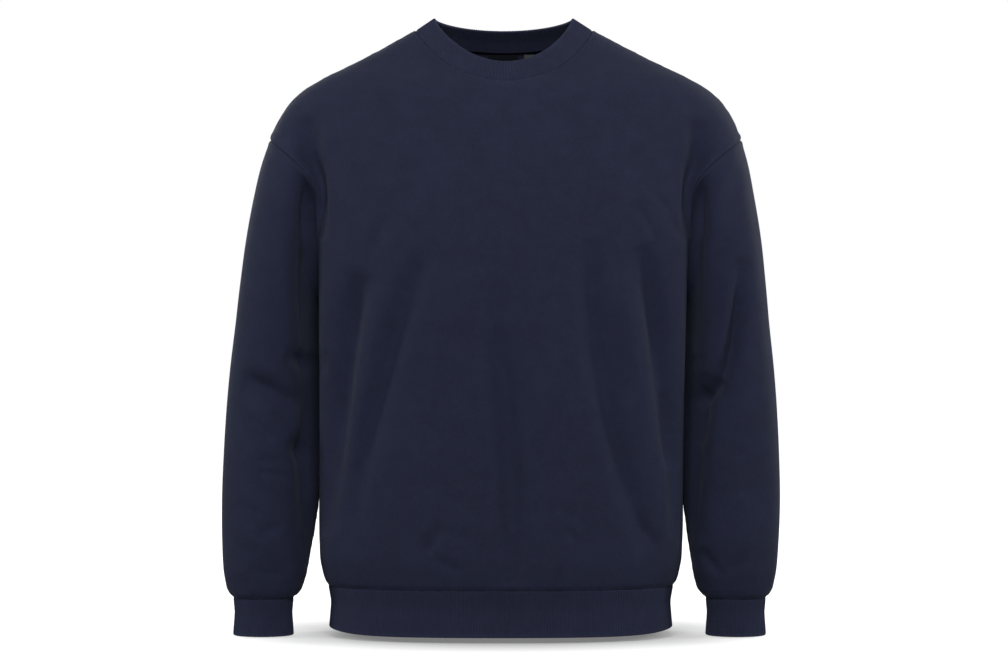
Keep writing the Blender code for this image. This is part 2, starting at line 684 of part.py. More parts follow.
def cloth_walls(off, grid, closed=False, neck_way=None):
    """Outer and inner skin of a piece of fleece lying on the form, with its folds."""
    way = outward(off, grid)[0]
    if neck_way is not None:
        way[0, SHOULDER_COLUMNS:ACROSS - SHOULDER_COLUMNS + 1] = neck_way
    quiet = seam_quiet(grid.shape[:2], columns=(not closed, not closed))
    relief = fold_relief(grid, way) * quiet
    outer = grid + way * relief[..., None] + seam_moves(grid, way, closed)
    return outer, outer - way * FLEECE


def sleeve_grid(loop):
    """The +X sleeve: columns round the arm from the shoulder tip over the front to the underarm and
    back, rows from the armhole to the cuff seam."""
    c = columns_at(ARM, ARM_COLUMNS, loop[:, 2])
    middle_x = (c["inner"] + c["outer"]) / 2
    half_x = (c["outer"] - c["inner"]) / 2
    start = np.unwrap(np.arctan2((loop[:, 1] - c["middle"]) / c["depth"], (loop[:, 0] - middle_x) / half_x))
    finish = start[0] - np.arange(len(loop)) / len(loop) * 2 * math.pi
    if start[len(loop) // 2] > start[0]:
        finish = 2 * start[0] - finish
    shares = np.concatenate([np.linspace(0.0, 0.93, SLEEVE_ROWS - 1), [0.972, 1.0]])
    rows = []
    for v in shares:
        turn = min(v * 1.6, 1.0)
        angle = start * (1 - turn) + finish * turn
        height = loop[:, 2] * (1 - v) + CUFF_SEAM * v
        c = columns_at(ARM, ARM_COLUMNS, height)
        x = (c["inner"] + c["outer"]) / 2 + (c["outer"] - c["inner"]) / 2 * np.cos(angle)
        y = c["middle"] + c["depth"] * np.sin(angle)
        rows.append(np.stack([x, y, height], axis=1))
    grid = np.array(rows)
    grid[0] = loop
    grid[1:-1] = settle(off_sleeve, grid[1:-1])
    return grid


def level_band(name, seam, end_z, points, fullness, made, rise=0.0):
    """Hem band or cuff: ribs from the seam down to its edge, as full as its rows say. The edge is
    level, or higher by rise where the band is furthest from the middle."""
    top = around(seam, points)
    way = ring_sides(top)
    end_z = end_z + rise * (np.abs(top[:, 0]) / np.abs(top[:, 0]).max()) ** 8
    rows = []
    for drop, bulge in fullness:
        ring = top + way * bulge
        ring[:, 2] = top[:, 2] * (1 - drop) + end_z * drop
        rows.append(ring)
    rows[0][:, 2] -= SEAM_GAP / 2
    outer = [ribbed(ring, way) for ring in rows]
    inner = [(rows[k] - way * RIB_WALL)[::INNER_SHARE] for k in (0, -1)]
    return band_object(name, outer, inner, made)


def neck_corners(front_neck, back_neck):
    """The neck seam as one closed line of corners, from the right shoulder over the front."""
    return np.concatenate([front_neck[:-1], back_neck[::-1][:-1]])


def neckband_frame(corners):
    """For each rib point of the neckband: its seam point, the way up its face and the way out of it."""
    seam = around(corners, NECK_POINTS)
    count = len(seam)
    angle = -math.pi / 2 + np.arange(count) / count * 2 * math.pi
    edge = neck_edge(angle)
    rise = edge - seam
    along = np.roll(edge, -1, axis=0) - np.roll(edge, 1, axis=0)
    out = np.cross(along, rise)
    out /= np.linalg.norm(out, axis=1, keepdims=True)
    if (out[0] * seam[0]).sum() < 0:
        out = -out
    return seam, rise, out


def neckband(corners, made):
    seam, rise, out = neckband_frame(corners)
    up = rise / np.linalg.norm(rise, axis=1, keepdims=True)
    seam = seam + up * SEAM_GAP / 2
    level = np.linspace(0.0, 2 * math.pi, len(seam), endpoint=False) - math.pi / 2
    fuller = np.abs(np.cos(level))[:, None]
    rows = []
    for share, bulge in ((0.0, 0.0), (0.42, 0.0024), (0.90, 0.0010)):
        rows.append(seam + rise * share + out * bulge * fuller)
    outer = [ribbed(ring, out) for ring in rows]
    crest = seam + rise - out * RIB_WALL / 2
    outer.append(ribbed(crest, up))
    root = seam_ways(corners)
    inner = [(seam - around(root, NECK_POINTS) * RIB_WALL)[::INNER_SHARE],
             (rows[2] - out * (RIB_WALL + 0.0004))[::INNER_SHARE]]
    return band_object("neckband", outer, inner, made)


def seam_ways(corners):
    """The way out of the cloth at the neck seam, shared by the panels and the neckband."""
    away = outward(off_form, corners)[0]
    _, _, out = neckband_frame(corners)
    shared = away + out[::NECK_POINTS]
    return shared / np.linalg.norm(shared, axis=1, keepdims=True)


def sewn_label(name, place, cloth, made):
    """A small woven piece hanging inside the back neck seam, laid on the inner face of its panel."""
    middle, half, top, bottom = place
    faces = [tuple(face.vertices) for face in cloth.data.polygons]
    inside = BVHTree.FromPolygons([v.co for v in cloth.data.vertices], faces)
    face = np.empty((4, 5, 3))
    away = np.empty((4, 5, 3))
    for i, z in enumerate(np.linspace(top, bottom, 4)):
        for j, x in enumerate(np.linspace(middle - half, middle + half, 5)):
            spot, normal, _, _ = inside.ray_cast(Vector((x, 0.0, z)), Vector((0.0, 1.0, 0.0)))
            face[i, j] = spot
            away[i, j] = normal if normal.y < 0 else -normal
    face += away * SEAM_GAP * 1.5
    return wall_object(name, face + away * LABEL_WALL, face, made, straight=False)


def main():
    for old in list(bpy.data.objects):
        bpy.data.objects.remove(old, do_unlink=True)
    fleece = material("navy_fleece", (0.0185, 0.0210, 0.0420), 0.92)
    rib = material("navy_rib", (0.0190, 0.0220, 0.0430), 0.90)
    woven = material("black_label", (0.0120, 0.0120, 0.0130), 0.80)
    tab = material("grey_tab", (0.2000, 0.2200, 0.2000), 0.85)
    panels, hems, front_neck, back_neck, armhole = build_shell()
    corners = neck_corners(front_neck, back_neck)
    root = seam_ways(corners)
    half = ACROSS - 2 * SHOULDER_COLUMNS
    roots = {"front": root[:half + 1], "back": np.concatenate([root[half:], root[:1]])[::-1]}
    cloth = {}
    for name in ("front", "back"):
        grid = relax(off_body, panels[name])
        cloth[name] = wall_object(name, *cloth_walls(off_body, grid, neck_way=roots[name]), fleece)
    sleeve = relax(off_sleeve, sleeve_grid(armhole), rounds=6, closed=True)
    for name, turn in (("sleeve_left", swung), ("sleeve_right", mirrored)):
        wall_object(name, *cloth_walls(off_sleeve, turn(sleeve), closed=True), fleece, closed=True)
        ring = turn(sleeve[-1])
        cuff = name.replace("sleeve", "cuff")
        level_band(cuff, ring, CUFF_END, CUFF_POINTS, ((0.0, 0.0), (0.5, 0.0008), (1.0, -0.0006)), rib)
    hem = np.concatenate([hems["front"][:-1], hems["back"][::-1][:-1]])
    level_band("hem_band", hem, HEM_END, HEM_POINTS, ((0.0, 0.0), (1.0, -0.0012)), rib, HEM_RISE)
    neckband(corners, rib)
    sewn_label("neck_label", LABEL, cloth["back"], woven)
    sewn_label("size_tab", SIZE_TAB, cloth["back"], tab)


main()
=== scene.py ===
# %% [markdown]
# # A crewneck sweatshirt, cut piece by cut piece
#
# The garment is navy fleece with ribbed bands, filled out as if somebody wore it, with nobody in it.
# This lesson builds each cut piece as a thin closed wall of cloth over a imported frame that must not
# move. The frame says where everything is. What is added here is what a frame can't show: fine folds,
# seams, ribs, knit and the look of the cloth.

# %% Load the frame
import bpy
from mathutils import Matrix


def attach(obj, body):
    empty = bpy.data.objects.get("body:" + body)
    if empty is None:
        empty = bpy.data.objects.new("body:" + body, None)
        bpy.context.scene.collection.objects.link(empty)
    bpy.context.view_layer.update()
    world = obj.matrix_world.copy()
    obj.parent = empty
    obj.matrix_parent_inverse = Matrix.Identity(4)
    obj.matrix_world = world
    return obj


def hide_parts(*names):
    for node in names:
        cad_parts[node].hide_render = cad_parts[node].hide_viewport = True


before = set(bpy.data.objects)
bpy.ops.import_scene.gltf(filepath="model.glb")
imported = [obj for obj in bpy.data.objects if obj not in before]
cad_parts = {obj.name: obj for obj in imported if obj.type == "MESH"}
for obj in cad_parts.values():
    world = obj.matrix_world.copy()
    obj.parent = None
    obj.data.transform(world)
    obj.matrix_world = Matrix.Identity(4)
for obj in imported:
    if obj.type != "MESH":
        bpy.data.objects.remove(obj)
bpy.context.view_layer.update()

import math

import bmesh
import bpy
import numpy as np
from mathutils import Vector
from mathutils.bvhtree import BVHTree

print("frame nodes:", ", ".join(sorted(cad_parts)))

# %% [markdown]
# ## The camera
#
# A garment is pictured from straight ahead at about half its height, and from so far away that its
# sides don't spread. A long lens does that. The camera looks level along +Y, so upright seams stay
# upright.

# %% Camera
camera_data = bpy.data.cameras.new("studio_camera")
camera_data.sensor_width = 36.0
camera_data.lens = 109.0
camera = bpy.data.objects.new("studio_camera", camera_data)
camera.location = (0.003, -3.6, -0.360)
camera.rotation_euler = (math.radians(90), 0.0, 0.0)
bpy.context.scene.collection.objects.link(camera)
bpy.context.scene.camera = camera
print("camera at", tuple(round(v, 3) for v in camera.location))

# %% [markdown]
# ## The studio
#
# The garment stands over a white floor in white surroundings, so that only the cloth catches the eye.
# A white wall close by would hide the garment from behind, so the surroundings are a very wide dome
# that only the camera sees. It gives no light of its own: if it did, every side would be lit alike and
# the folds would vanish. One light hangs in front and high up. Two tall ones stand level with the
# garment, far out to its sides, because light that grazes the cloth shows its upright folds. A weak one
# near the floor lifts the hem out of its shadow, and two from behind keep the back from going black.
# All are large, which keeps every shadow soft.
#
# The floor could be one pale colour, but then the ground under the hem would be as bright as the rest.
# Its glow rises with the distance from the garment, so a painted shadow gathers close to the hem and the
# cuffs, and the floor runs into the white of the surroundings with no edge.

# %% Floor and dome
FLOOR_Z = -0.7108
FLOOR_RADIUS = 11.0
DOME_RADIUS = 14.0
# Shape and reach of the floor's painted shadow: its glow is lowest close to the garment
PAINTED_SHADOW_SHAPE = (0.73, 1.0, 0.0)      # the shade is wider than it is deep, and height doesn't count
PAINTED_SHADOW_START, PAINTED_SHADOW_END = 0.125, 0.27
PAINTED_SHADOW_GLOW = 0.20


def stage_object(name, mesh, material):
    """A part of the stage, seen by the camera alone."""
    thing = bpy.data.objects.new(name, mesh)
    thing.data.materials.append(material)
    thing.visible_diffuse = False
    thing.visible_glossy = False
    thing.visible_shadow = False
    bpy.context.scene.collection.objects.link(thing)


def disc_mesh(name, radius, height, corners=96):
    """A level disc."""
    turn = [2 * math.pi * k / corners for k in range(corners)]
    mesh = bpy.data.meshes.new(name)
    mesh.from_pydata([(radius * math.cos(t), radius * math.sin(t), height) for t in turn], [],
                     [tuple(range(corners))])
    return mesh


def dome_mesh(name, radius, rings=24, corners=48):
    """A ball all round the stage, open at its two poles."""
    verts = []
    for ring in range(1, rings):
        tilt = math.pi * ring / rings
        for corner in range(corners):
            turn = 2 * math.pi * corner / corners
            verts.append((radius * math.sin(tilt) * math.cos(turn), radius * math.sin(tilt) * math.sin(turn),
                          radius * math.cos(tilt)))
    faces = [(r * corners + c, r * corners + (c + 1) % corners, (r + 1) * corners + (c + 1) % corners,
              (r + 1) * corners + c) for r in range(rings - 2) for c in range(corners)]
    mesh = bpy.data.meshes.new(name)
    mesh.from_pydata(verts, [], faces)
    return mesh


def glowing_material(name, base):
    """A white glow over a matt grey base."""
    made = bpy.data.materials.new(name)
    made.use_nodes = True
    shader = made.node_tree.nodes["Principled BSDF"]
    shader.inputs["Base Color"].default_value = (base, base, base, 1.0)
    shader.inputs["Roughness"].default_value = 1.0
    shader.inputs["Specular IOR Level"].default_value = 0.0
    shader.inputs["Emission Color"].default_value = (1.0, 1.0, 1.0, 1.0)
    shader.inputs["Emission Strength"].default_value = 1.0
    return made


floor_material = glowing_material("white_floor", 0.36)
floor_tree = floor_material.node_tree
level = floor_tree.nodes.new("ShaderNodeVectorMath")
level.operation = "MULTIPLY"
level.inputs[1].default_value = PAINTED_SHADOW_SHAPE
floor_tree.links.new(floor_tree.nodes.new("ShaderNodeTexCoord").outputs["Object"], level.inputs[0])
from_middle = floor_tree.nodes.new("ShaderNodeVectorMath")
from_middle.operation = "LENGTH"
floor_tree.links.new(level.outputs[0], from_middle.inputs[0])
# Painted shadow: the floor glows less close to the garment and fully far from it
painted_shadow_ramp = floor_tree.nodes.new("ShaderNodeMapRange")
painted_shadow_ramp.inputs["From Min"].default_value = PAINTED_SHADOW_START
painted_shadow_ramp.inputs["From Max"].default_value = PAINTED_SHADOW_END
painted_shadow_ramp.inputs["To Min"].default_value = PAINTED_SHADOW_GLOW
painted_shadow_ramp.inputs["To Max"].default_value = 1.0
floor_tree.links.new(from_middle.outputs["Value"], painted_shadow_ramp.inputs["Value"])
floor_tree.links.new(painted_shadow_ramp.outputs["Result"],
                     floor_tree.nodes["Principled BSDF"].inputs["Emission Strength"])

stage_object("floor", disc_mesh("floor", FLOOR_RADIUS, FLOOR_Z), floor_material)
stage_object("dome", dome_mesh("dome", DOME_RADIUS), glowing_material("white_dome", 0.0))
print("floor at", FLOOR_Z)

# %% Lights


def soft_light(name, place, target, width, height, watts):
    """A rectangle of light, sizes in metres, that the camera doesn't see."""
    data = bpy.data.lights.new(name, "AREA")
    data.shape = "RECTANGLE"
    data.size = width
    data.size_y = height
    data.energy = watts
    light = bpy.data.objects.new(name, data)
    light.location = place
    light.rotation_euler = (Vector(target) - Vector(place)).to_track_quat("-Z", "Y").to_euler()
    light.visible_camera = False
    bpy.context.scene.collection.objects.link(light)


soft_light("front_light", (0.0, -2.0, 0.85), (0.0, 0.0, -0.15), 1.0, 0.7, 33.5)
soft_light("side_light_left", (2.2, -0.20, 0.5), (0.05, 0.0, -0.30), 0.5, 1.0, 18.5)
soft_light("side_light_right", (-2.2, -0.20, 0.5), (-0.05, 0.0, -0.30), 0.5, 1.0, 18.5)
soft_light("low_light", (0.0, -2.6, -0.75), (0.0, 0.0, -0.65), 1.6, 0.5, 7.0)
soft_light("back_light_left", (1.7, 2.1, 0.6), (0.0, 0.0, -0.35), 0.8, 1.0, 24.0)
soft_light("back_light_right", (-1.1, 2.4, 0.5), (0.0, 0.0, -0.35), 0.8, 1.0, 24.0)

world = bpy.data.worlds.new("studio_air")
world.use_nodes = True
world.node_tree.nodes["Background"].inputs["Color"].default_value = (0.96, 0.98, 1.0, 1.0)
world.node_tree.nodes["Background"].inputs["Strength"].default_value = 0.29
bpy.context.scene.world = world
bpy.context.scene.view_settings.view_transform = "Standard"

# %% [markdown]
# ## The form under the cloth
#
# Cloth on a body follows the body, so the garment's outside starts as one rounded surface: a torso and
# two arms. It could be modelled by hand from a box, but then every seam would be a guess. Here each
# level of the torso and of the arm is a rounded section whose sizes stand in a table, and a function
# says how far any point is outside the form. Points are then moved along that function's own slope
# until they lie on it. The tables are the same as the frame's, so everything made here fits it.

# %% Sizes of the walls and bands
FLEECE = 0.0021             # wall of the brushed-back body and sleeves
RIB_WALL = 0.0038           # wall of the doubled rib
SEAM_GAP = -0.00006         # sewn edges press into each other, so that no light shows between them
ARM_CLEARANCE = 0.0016      # space between a hanging sleeve and the side of the body
NECK_SEAM = dict(half=0.104, front=0.100, back=0.085, top=0.0, drop_front=0.066, drop_back=0.016)
NECK_EDGE = dict(half=0.0812, front=0.083, back=0.065, top=0.0153, drop_front=0.0577,
                 drop_back=0.0083)
HEM_SEAM = -0.6500          # heights of the seams over the hem and the cuffs, and of their edges
HEM_END = -0.7048
HEM_RISE = 0.0055           # how much higher the hem's edge is at the sides of the body
CUFF_SEAM = -0.6655
CUFF_END = -0.7100

# Columns and rows of the coarse grids
ACROSS = 26
SHOULDER_COLUMNS = 6
NECK_COLUMNS = ACROSS - 2 * SHOULDER_COLUMNS
ARMHOLE_ROWS = 10
SIDE_ROWS = 12
SLEEVE_ROWS = 18
print("from cuffs to neck:", round(NECK_EDGE["top"] - CUFF_END, 3), "m")

# %% Level sections of the torso and of an arm
# Height, half width, front, back, where it is widest, squareness
TORSO = np.array([
    (0.020, 0.0780, -0.024, 0.036, 0.000, 2.2), (0.008, 0.0930, -0.032, 0.042, 0.000, 2.2),
    (0.000, 0.1040, -0.040, 0.050, 0.000, 2.2), (-0.0043, 0.1120, -0.0445, 0.060, 0.000, 2.2),
    (-0.0080, 0.1188, -0.0480, 0.068, 0.000, 2.2), (-0.0120, 0.1260, -0.0515, 0.0765, 0.000, 2.2),
    (-0.0160, 0.1336, -0.0555, 0.0850, 0.000, 2.2), (-0.0240, 0.1484, -0.0620, 0.0920, 0.000, 2.2),
    (-0.0340, 0.1678, -0.0695, 0.0985, -0.001, 2.2), (-0.0460, 0.1912, -0.0790, 0.1040, -0.004, 2.2),
    (-0.0580, 0.2100, -0.0915, 0.1090, -0.008, 2.25), (-0.0740, 0.2180, -0.1050, 0.1140, -0.014, 2.3),
    (-0.1000, 0.2200, -0.1140, 0.1200, -0.022, 2.35), (-0.1300, 0.2200, -0.1200, 0.1250, -0.034, 2.4),
    (-0.1650, 0.2172, -0.1250, 0.1300, -0.046, 2.4), (-0.2200, 0.2155, -0.1310, 0.1330, -0.054, 2.4),
    (-0.3000, 0.2138, -0.1330, 0.1320, -0.055, 2.4), (-0.3600, 0.2130, -0.1325, 0.1280, -0.054, 2.4),
    (-0.4200, 0.2122, -0.1315, 0.1250, -0.052, 2.4), (-0.5200, 0.2118, -0.1300, 0.1220, -0.046, 2.4),
    (-0.6000, 0.2115, -0.1300, 0.1210, -0.038, 2.45), (-0.6250, 0.2100, -0.1290, 0.1190, -0.032, 2.5),
    (-0.6400, 0.2060, -0.1262, 0.1160, -0.028, 2.5), (-0.6500, 0.2018, -0.1232, 0.1128, -0.024, 2.5),
    (-0.6620, 0.2008, -0.1222, 0.1116, -0.022, 2.55), (-0.7100, 0.2006, -0.1220, 0.1110, -0.020, 2.6),
])
BACK_SQUARER = 0.5          # the back is this much squarer than the front,
YOKE_END = -0.060           # from this height down, and fully so
YOKE_FADE = 0.10            # within this distance

# Height, inner side, outer side, middle and half depth, squareness
ARM = np.array([
    (-0.0450, 0.1500, 0.1870, 0.002, 0.018, 2.1), (-0.0580, 0.1300, 0.2154, 0.003, 0.040, 2.1),
    (-0.0696, 0.1200, 0.2366, 0.003, 0.052, 2.1), (-0.0814, 0.1200, 0.2508, 0.004, 0.060, 2.1),
    (-0.0932, 0.1220, 0.2602, 0.004, 0.065, 2.1), (-0.1050, 0.1250, 0.2673, 0.004, 0.069, 2.15),
    (-0.1286, 0.1400, 0.2773, 0.005, 0.075, 2.2), (-0.1520, 0.1650, 0.2850, 0.005, 0.079, 2.2),
    (-0.2000, 0.1960, 0.2956, 0.006, 0.084, 2.2), (-0.2500, 0.2044, 0.3042, 0.008, 0.086, 2.2),
    (-0.2900, 0.2090, 0.3092, 0.010, 0.084, 2.2), (-0.3150, 0.2132, 0.3120, 0.011, 0.082, 2.2),
    (-0.3400, 0.2148, 0.3146, 0.012, 0.079, 2.2), (-0.4000, 0.2146, 0.3212, 0.010, 0.074, 2.2),
    (-0.4500, 0.2144, 0.3250, 0.006, 0.070, 2.2), (-0.5000, 0.2146, 0.3272, 0.000, 0.066, 2.2),
    (-0.5530, 0.2150, 0.3284, -0.006, 0.060, 2.2), (-0.6000, 0.2216, 0.3274, -0.013, 0.055, 2.15),
    (-0.6240, 0.2258, 0.3262, -0.016, 0.051, 2.1), (-0.6360, 0.2278, 0.3250, -0.018, 0.049, 2.1),
    (-0.6460, 0.2306, 0.3232, -0.019, 0.046, 2.05), (-0.6560, 0.2345, 0.3202, -0.020, 0.0425, 2.0),
    (-0.6655, 0.2428, 0.3136, -0.021, 0.0362, 2.0), (-0.6735, 0.2446, 0.3116, -0.021, 0.0336, 2.0),
    (-0.7200, 0.2446, 0.3112, -0.022, 0.0332, 2.0),
])

# %% How the arm joins, where the armhole runs, how the garment leans
# Each table has heights and one value at each: how widely torso and arm blend, how far out the armhole
# is, and how far to the side the garment leans and the left forearm hangs.
SOFTNESS = np.array([(-0.040, 0.006), (-0.080, 0.028), (-0.130, 0.032), (-0.170, 0.018),
                     (-0.220, 0.010), (-0.270, 0.006), (-0.300, 0.003), (-0.340, 0.003)])
ARMHOLE = np.array([(-0.1100, 0.2830), (-0.1300, 0.2750), (-0.1460, 0.2560), (-0.1650, 0.2350),
                    (-0.1840, 0.2180)])
ARMHOLE_TURN = -0.184       # below this height the armhole lies on the side of the body
RIDGE = 0.004               # how far back the shoulder tip lies
UNDERARM = 0.008            # and the underarm
UNDERARM_LEVEL = -0.312     # from here down the sleeve comes free of the body
UNDERARM_FADE = 0.020
APART = 0.05                # more than any blend, so that surfaces this far apart don't blend
LEAN = np.array([(0.020, 0.0024), (0.000, 0.0030), (-0.030, 0.0046), (-0.080, 0.0056),
                 (-0.130, 0.0048), (-0.180, 0.0034), (-0.250, 0.0025), (-0.330, 0.0013),
                 (-0.450, 0.0003), (-0.600, -0.0006), (-0.720, -0.0008)])
SWING = np.array([(-0.500, 0.0), (-0.560, -0.0004), (-0.620, -0.0018), (-0.670, -0.0029),
                  (-0.720, -0.0030)])
print("torso levels:", len(TORSO), "arm levels:", len(ARM))

# %% Read a table smoothly


def table_at(table, heights):
    """Every column of a table at the given heights, on smooth curves through its rows."""
    rows = table[np.argsort(table[:, 0])]
    level = rows[:, 0]
    values = rows[:, 1:]
    slopes = np.gradient(values, level, axis=0)
    heights = np.asarray(heights, float)
    low = np.clip(np.searchsorted(level, heights) - 1, 0, len(level) - 2)
    step = level[low + 1] - level[low]
    t = np.clip((heights - level[low]) / step, 0.0, 1.0)[..., None]
    step = step[..., None]
    start = values[low] * (1 + 2 * t) + slopes[low] * step * t
    end = values[low + 1] * (3 - 2 * t) - slopes[low + 1] * step * (1 - t)
    found = start * (1 - t) ** 2 + end * t ** 2
    return [found[..., k] for k in range(found.shape[-1])]


print("half the waist's width:", round(float(table_at(TORSO, -0.5)[0]), 4))

# %% How far a point is outside the form


def off_section(x, y, half_x, half_y, power):
    """About how far a point is outside a rounded oval; a higher power makes it squarer."""
    u = np.abs(x) / half_x + 1e-9
    v = np.abs(y) / half_y + 1e-9
    size = (u ** power + v ** power) ** (1 / power)
    slope = np.hypot(u ** (power - 1) / half_x, v ** (power - 1) / half_y) * size ** (1 - power)
    return (size - 1) / slope


def torso_section(y, heights):
    """Half width, distance from the widest place, half depth and squareness of the torso."""
    half, front, back, widest, power = table_at(TORSO, heights)
    off = y - widest
    half_y = np.where(off < 0, widest - front, back - widest)
    below_yoke = np.clip((YOKE_END - heights) / YOKE_FADE, 0.0, 1.0)
    return half, off, half_y, power + np.where(off < 0, 0.0, BACK_SQUARER * below_yoke)


def off_torso(points):
    """How far points are outside the torso."""
    half, off, half_y, power = torso_section(points[..., 1], points[..., 2])
    return off_section(points[..., 0], off, half, half_y, power)


def off_arm(points):
    """How far points are outside the nearer arm."""
    inner, outer, middle, depth, power = table_at(ARM, points[..., 2])
    x = np.abs(points[..., 0]) - (inner + outer) / 2
    above = np.maximum(points[..., 2] - ARM[0][0], 0.0)
    return off_section(x, points[..., 1] - middle, (outer - inner) / 2, depth, power) + above * 2


def join_softly(a, b, soft):
    """The nearer of two surfaces, blended where they are about as near."""
    near = np.maximum(soft - np.abs(a - b), 0.0) / soft
    return np.minimum(a, b) - near * near * soft / 4


elbow = np.array([[0.40, 0.0, -0.4]])
print("a point beside the elbow is", round(float(off_arm(elbow)[0]), 3), "m outside the arm")

# %% The whole form, and what the body and a sleeve lie on


def below_underarm(heights):
    """0 above the underarm, 1 below it."""
    t = np.clip((UNDERARM_LEVEL - heights) / UNDERARM_FADE, 0.0, 1.0)
    return t * t * (3 - 2 * t)


def off_form(points):
    """How far points are outside torso and arms together."""
    soft = table_at(SOFTNESS, points[..., 2])[0]
    return join_softly(off_torso(points), off_arm(points), soft)


def off_body(points):
    """What front and back lie on: the whole form, and below the underarm the torso alone."""
    soft = table_at(SOFTNESS, points[..., 2])[0]
    apart = below_underarm(points[..., 2]) * APART
    return join_softly(off_torso(points), off_arm(points) + apart, soft)


def off_sleeve(points):
    """What sleeves lie on: the whole form, and below the underarm an arm kept clear of the body."""
    soft = table_at(SOFTNESS, points[..., 2])[0]
    apart = below_underarm(points[..., 2]) * APART
    torso = off_torso(points)
    joined = join_softly(off_arm(points), torso + apart, soft)
    clear = ARM_CLEARANCE - torso - (APART - apart)
    return -join_softly(-joined, -clear, 0.004)


chest = np.array([[0.0, -0.3, -0.3]])
print("a point in front of the chest is", round(float(off_form(chest)[0]), 3), "m outside")

# %% Lay points on the form


def outward(off, points):
    """Unit direction away from the form at each point, and how steep the function is there."""
    step = 0.0008
    slope = np.empty_like(points)
    for axis in range(3):
        move = np.zeros(3)
        move[axis] = step
        slope[..., axis] = off(points + move) - off(points - move)
    slope /= 2 * step
    size = np.linalg.norm(slope, axis=-1, keepdims=True)
    return slope / np.maximum(size, 1e-9), size[..., 0]


def settle(off, points, rounds=24, reach=0.012):
    """Moves points onto a form, by at most reach in each round."""
    points = np.array(points, float)
    for _ in range(rounds):
        way, size = outward(off, points)
        move = -off(points) / np.maximum(size, 0.35)
        points += way * np.clip(move, -reach, reach)[..., None]
    return points


def halve(off_along, low, high):
    """Where off_along changes sign between low (inside) and high (outside), by halving."""
    for _ in range(40):
        middle = (low + high) / 2
        inside = off_along(middle) < 0
        low = np.where(inside, middle, low)
        high = np.where(inside, high, middle)
    return (low + high) / 2


print("the chest is at y =", round(float(settle(off_form, chest, reach=0.3)[0, 1]), 4))

# %% [markdown]
# ## The seams
#
# A sweatshirt is sewn from few pieces: front, back, two sleeves and ribbed bands. The pieces meet at
# the neck, along the shoulders, round the armholes and down the sides, and those lines are what make it
# look like clothing. They are found first, and each one is shared by the pieces on both of its sides,
# so that neighbours meet exactly.

# %% Lines along the form


def along(line, shares):
    """Points at the given shares of a line's length."""
    line = np.asarray(line, float)
    length = np.concatenate([[0.0], np.cumsum(np.linalg.norm(np.diff(line, axis=0), axis=1))])
    return np.stack([np.interp(np.asarray(shares) * length[-1], length, line[:, k])
                     for k in range(3)], axis=-1)


def neck_ring(angle, half, front, back, top, drop_front, drop_back):
    """A ring round the neck: angle 0 is the middle of the front and pi the middle of the back."""
    cosine = np.cos(angle)
    share = np.abs(cosine)
    y = np.where(cosine > 0, -front * share, back * share)
    drop = np.where(cosine > 0, drop_front * share ** 1.5, drop_back * share ** 1.5)
    return np.stack([half * np.sin(angle), y, top - drop], axis=-1)


def torso_side(y, height):
    """How far out the torso's side is."""
    half, off, half_y, power = torso_section(y, height)
    share = np.clip(np.abs(off) / half_y, 0.0, 0.999)
    return half * (1 - share ** power) ** (1 / power)


def eased(count):
    """Shares from 0 to 1, close together at first."""
    return 1 - np.cos(np.linspace(0.0, math.pi / 2, count))


MIRROR = np.array([-1.0, 1.0, 1.0])
print("the neck seam dips to", round(NECK_SEAM["top"] - NECK_SEAM["drop_front"], 3), "in front")

# %% The armhole, front and back halves


def armhole_line(side):
    """Half of the +X armhole, from the shoulder to the underarm (side -1 is the front half)."""
    def seam_point(height, y):
        x = table_at(ARMHOLE, height)[0]
        return np.stack(np.broadcast_arrays(x, y, height), axis=-1).astype(float)

    def side_point(height, y):
        return np.stack(np.broadcast_arrays(torso_side(y, height), y, height), axis=-1).astype(float)

    top = halve(lambda z: off_form(seam_point(z, RIDGE)), np.array(-0.160), np.array(-0.090))
    low = halve(lambda z: off_arm(side_point(z, UNDERARM)), np.array(-0.250), np.array(-0.335))
    upper = top + (ARMHOLE_TURN - top) * eased(30)[1:]
    y = halve(lambda v: off_form(seam_point(upper, v)), np.full_like(upper, RIDGE),
              np.full_like(upper, side * 0.16))
    upper = seam_point(upper, y)
    lower = low + (ARMHOLE_TURN - 0.022 - low) * eased(30)[1:][::-1]
    widest = table_at(TORSO, lower)[3]
    y = halve(lambda v: off_arm(side_point(lower, v)), np.full_like(lower, UNDERARM),
              widest if side < 0 else np.full_like(lower, 0.110))
    lower = side_point(lower, y)
    line = np.concatenate([[seam_point(top, RIDGE)], upper, lower, [side_point(low, UNDERARM)]])
    line = along(line, np.linspace(0.0, 1.0, 61))
    for _ in range(12):
        line[1:-1] = (line[:-2] + 2 * line[1:-1] + line[2:]) / 4
        line[1:-1] = settle(off_form, line[1:-1], rounds=4)
    line[[0, -1]] = settle(off_form, line[[0, -1]])
    return line


armhole = {"front": armhole_line(-1), "back": armhole_line(1)}
tip = armhole["front"][0]
underarm = armhole["front"][-1]
print("shoulder tip", tip.round(4), "underarm", underarm.round(4))

# %% The neck seam, the shoulder seam and the side seam


def neck_angle(name, columns):
    """How far round the neck each column of the front or back ends."""
    angle = (np.asarray(columns) - SHOULDER_COLUMNS) / NECK_COLUMNS * math.pi - math.pi / 2
    return angle if name == "front" else math.pi - angle


def neck_half(name, columns):
    """The neck seam of the front or back, by column of the panel."""
    return settle(off_form, neck_ring(neck_angle(name, columns), **NECK_SEAM))


SIDE_POINTS = 40
HEM_POINTS = 161
last_column = float(ACROSS - SHOULDER_COLUMNS)
neck_corner = (neck_half("front", [last_column])[0] + neck_half("back", [last_column])[0]) / 2


def shoulder_seam(shares):
    """The +X shoulder seam from the neck to the tip."""
    shares = np.asarray(shares)[:, None]
    lift = np.sin(shares * math.pi) * np.array([0.0, 0.0, 0.03])
    line = settle(off_form, neck_corner * (1 - shares) + tip * shares + lift)
    line = np.where(shares <= 0, neck_corner, line)
    return np.where(shares >= 1, tip, line)


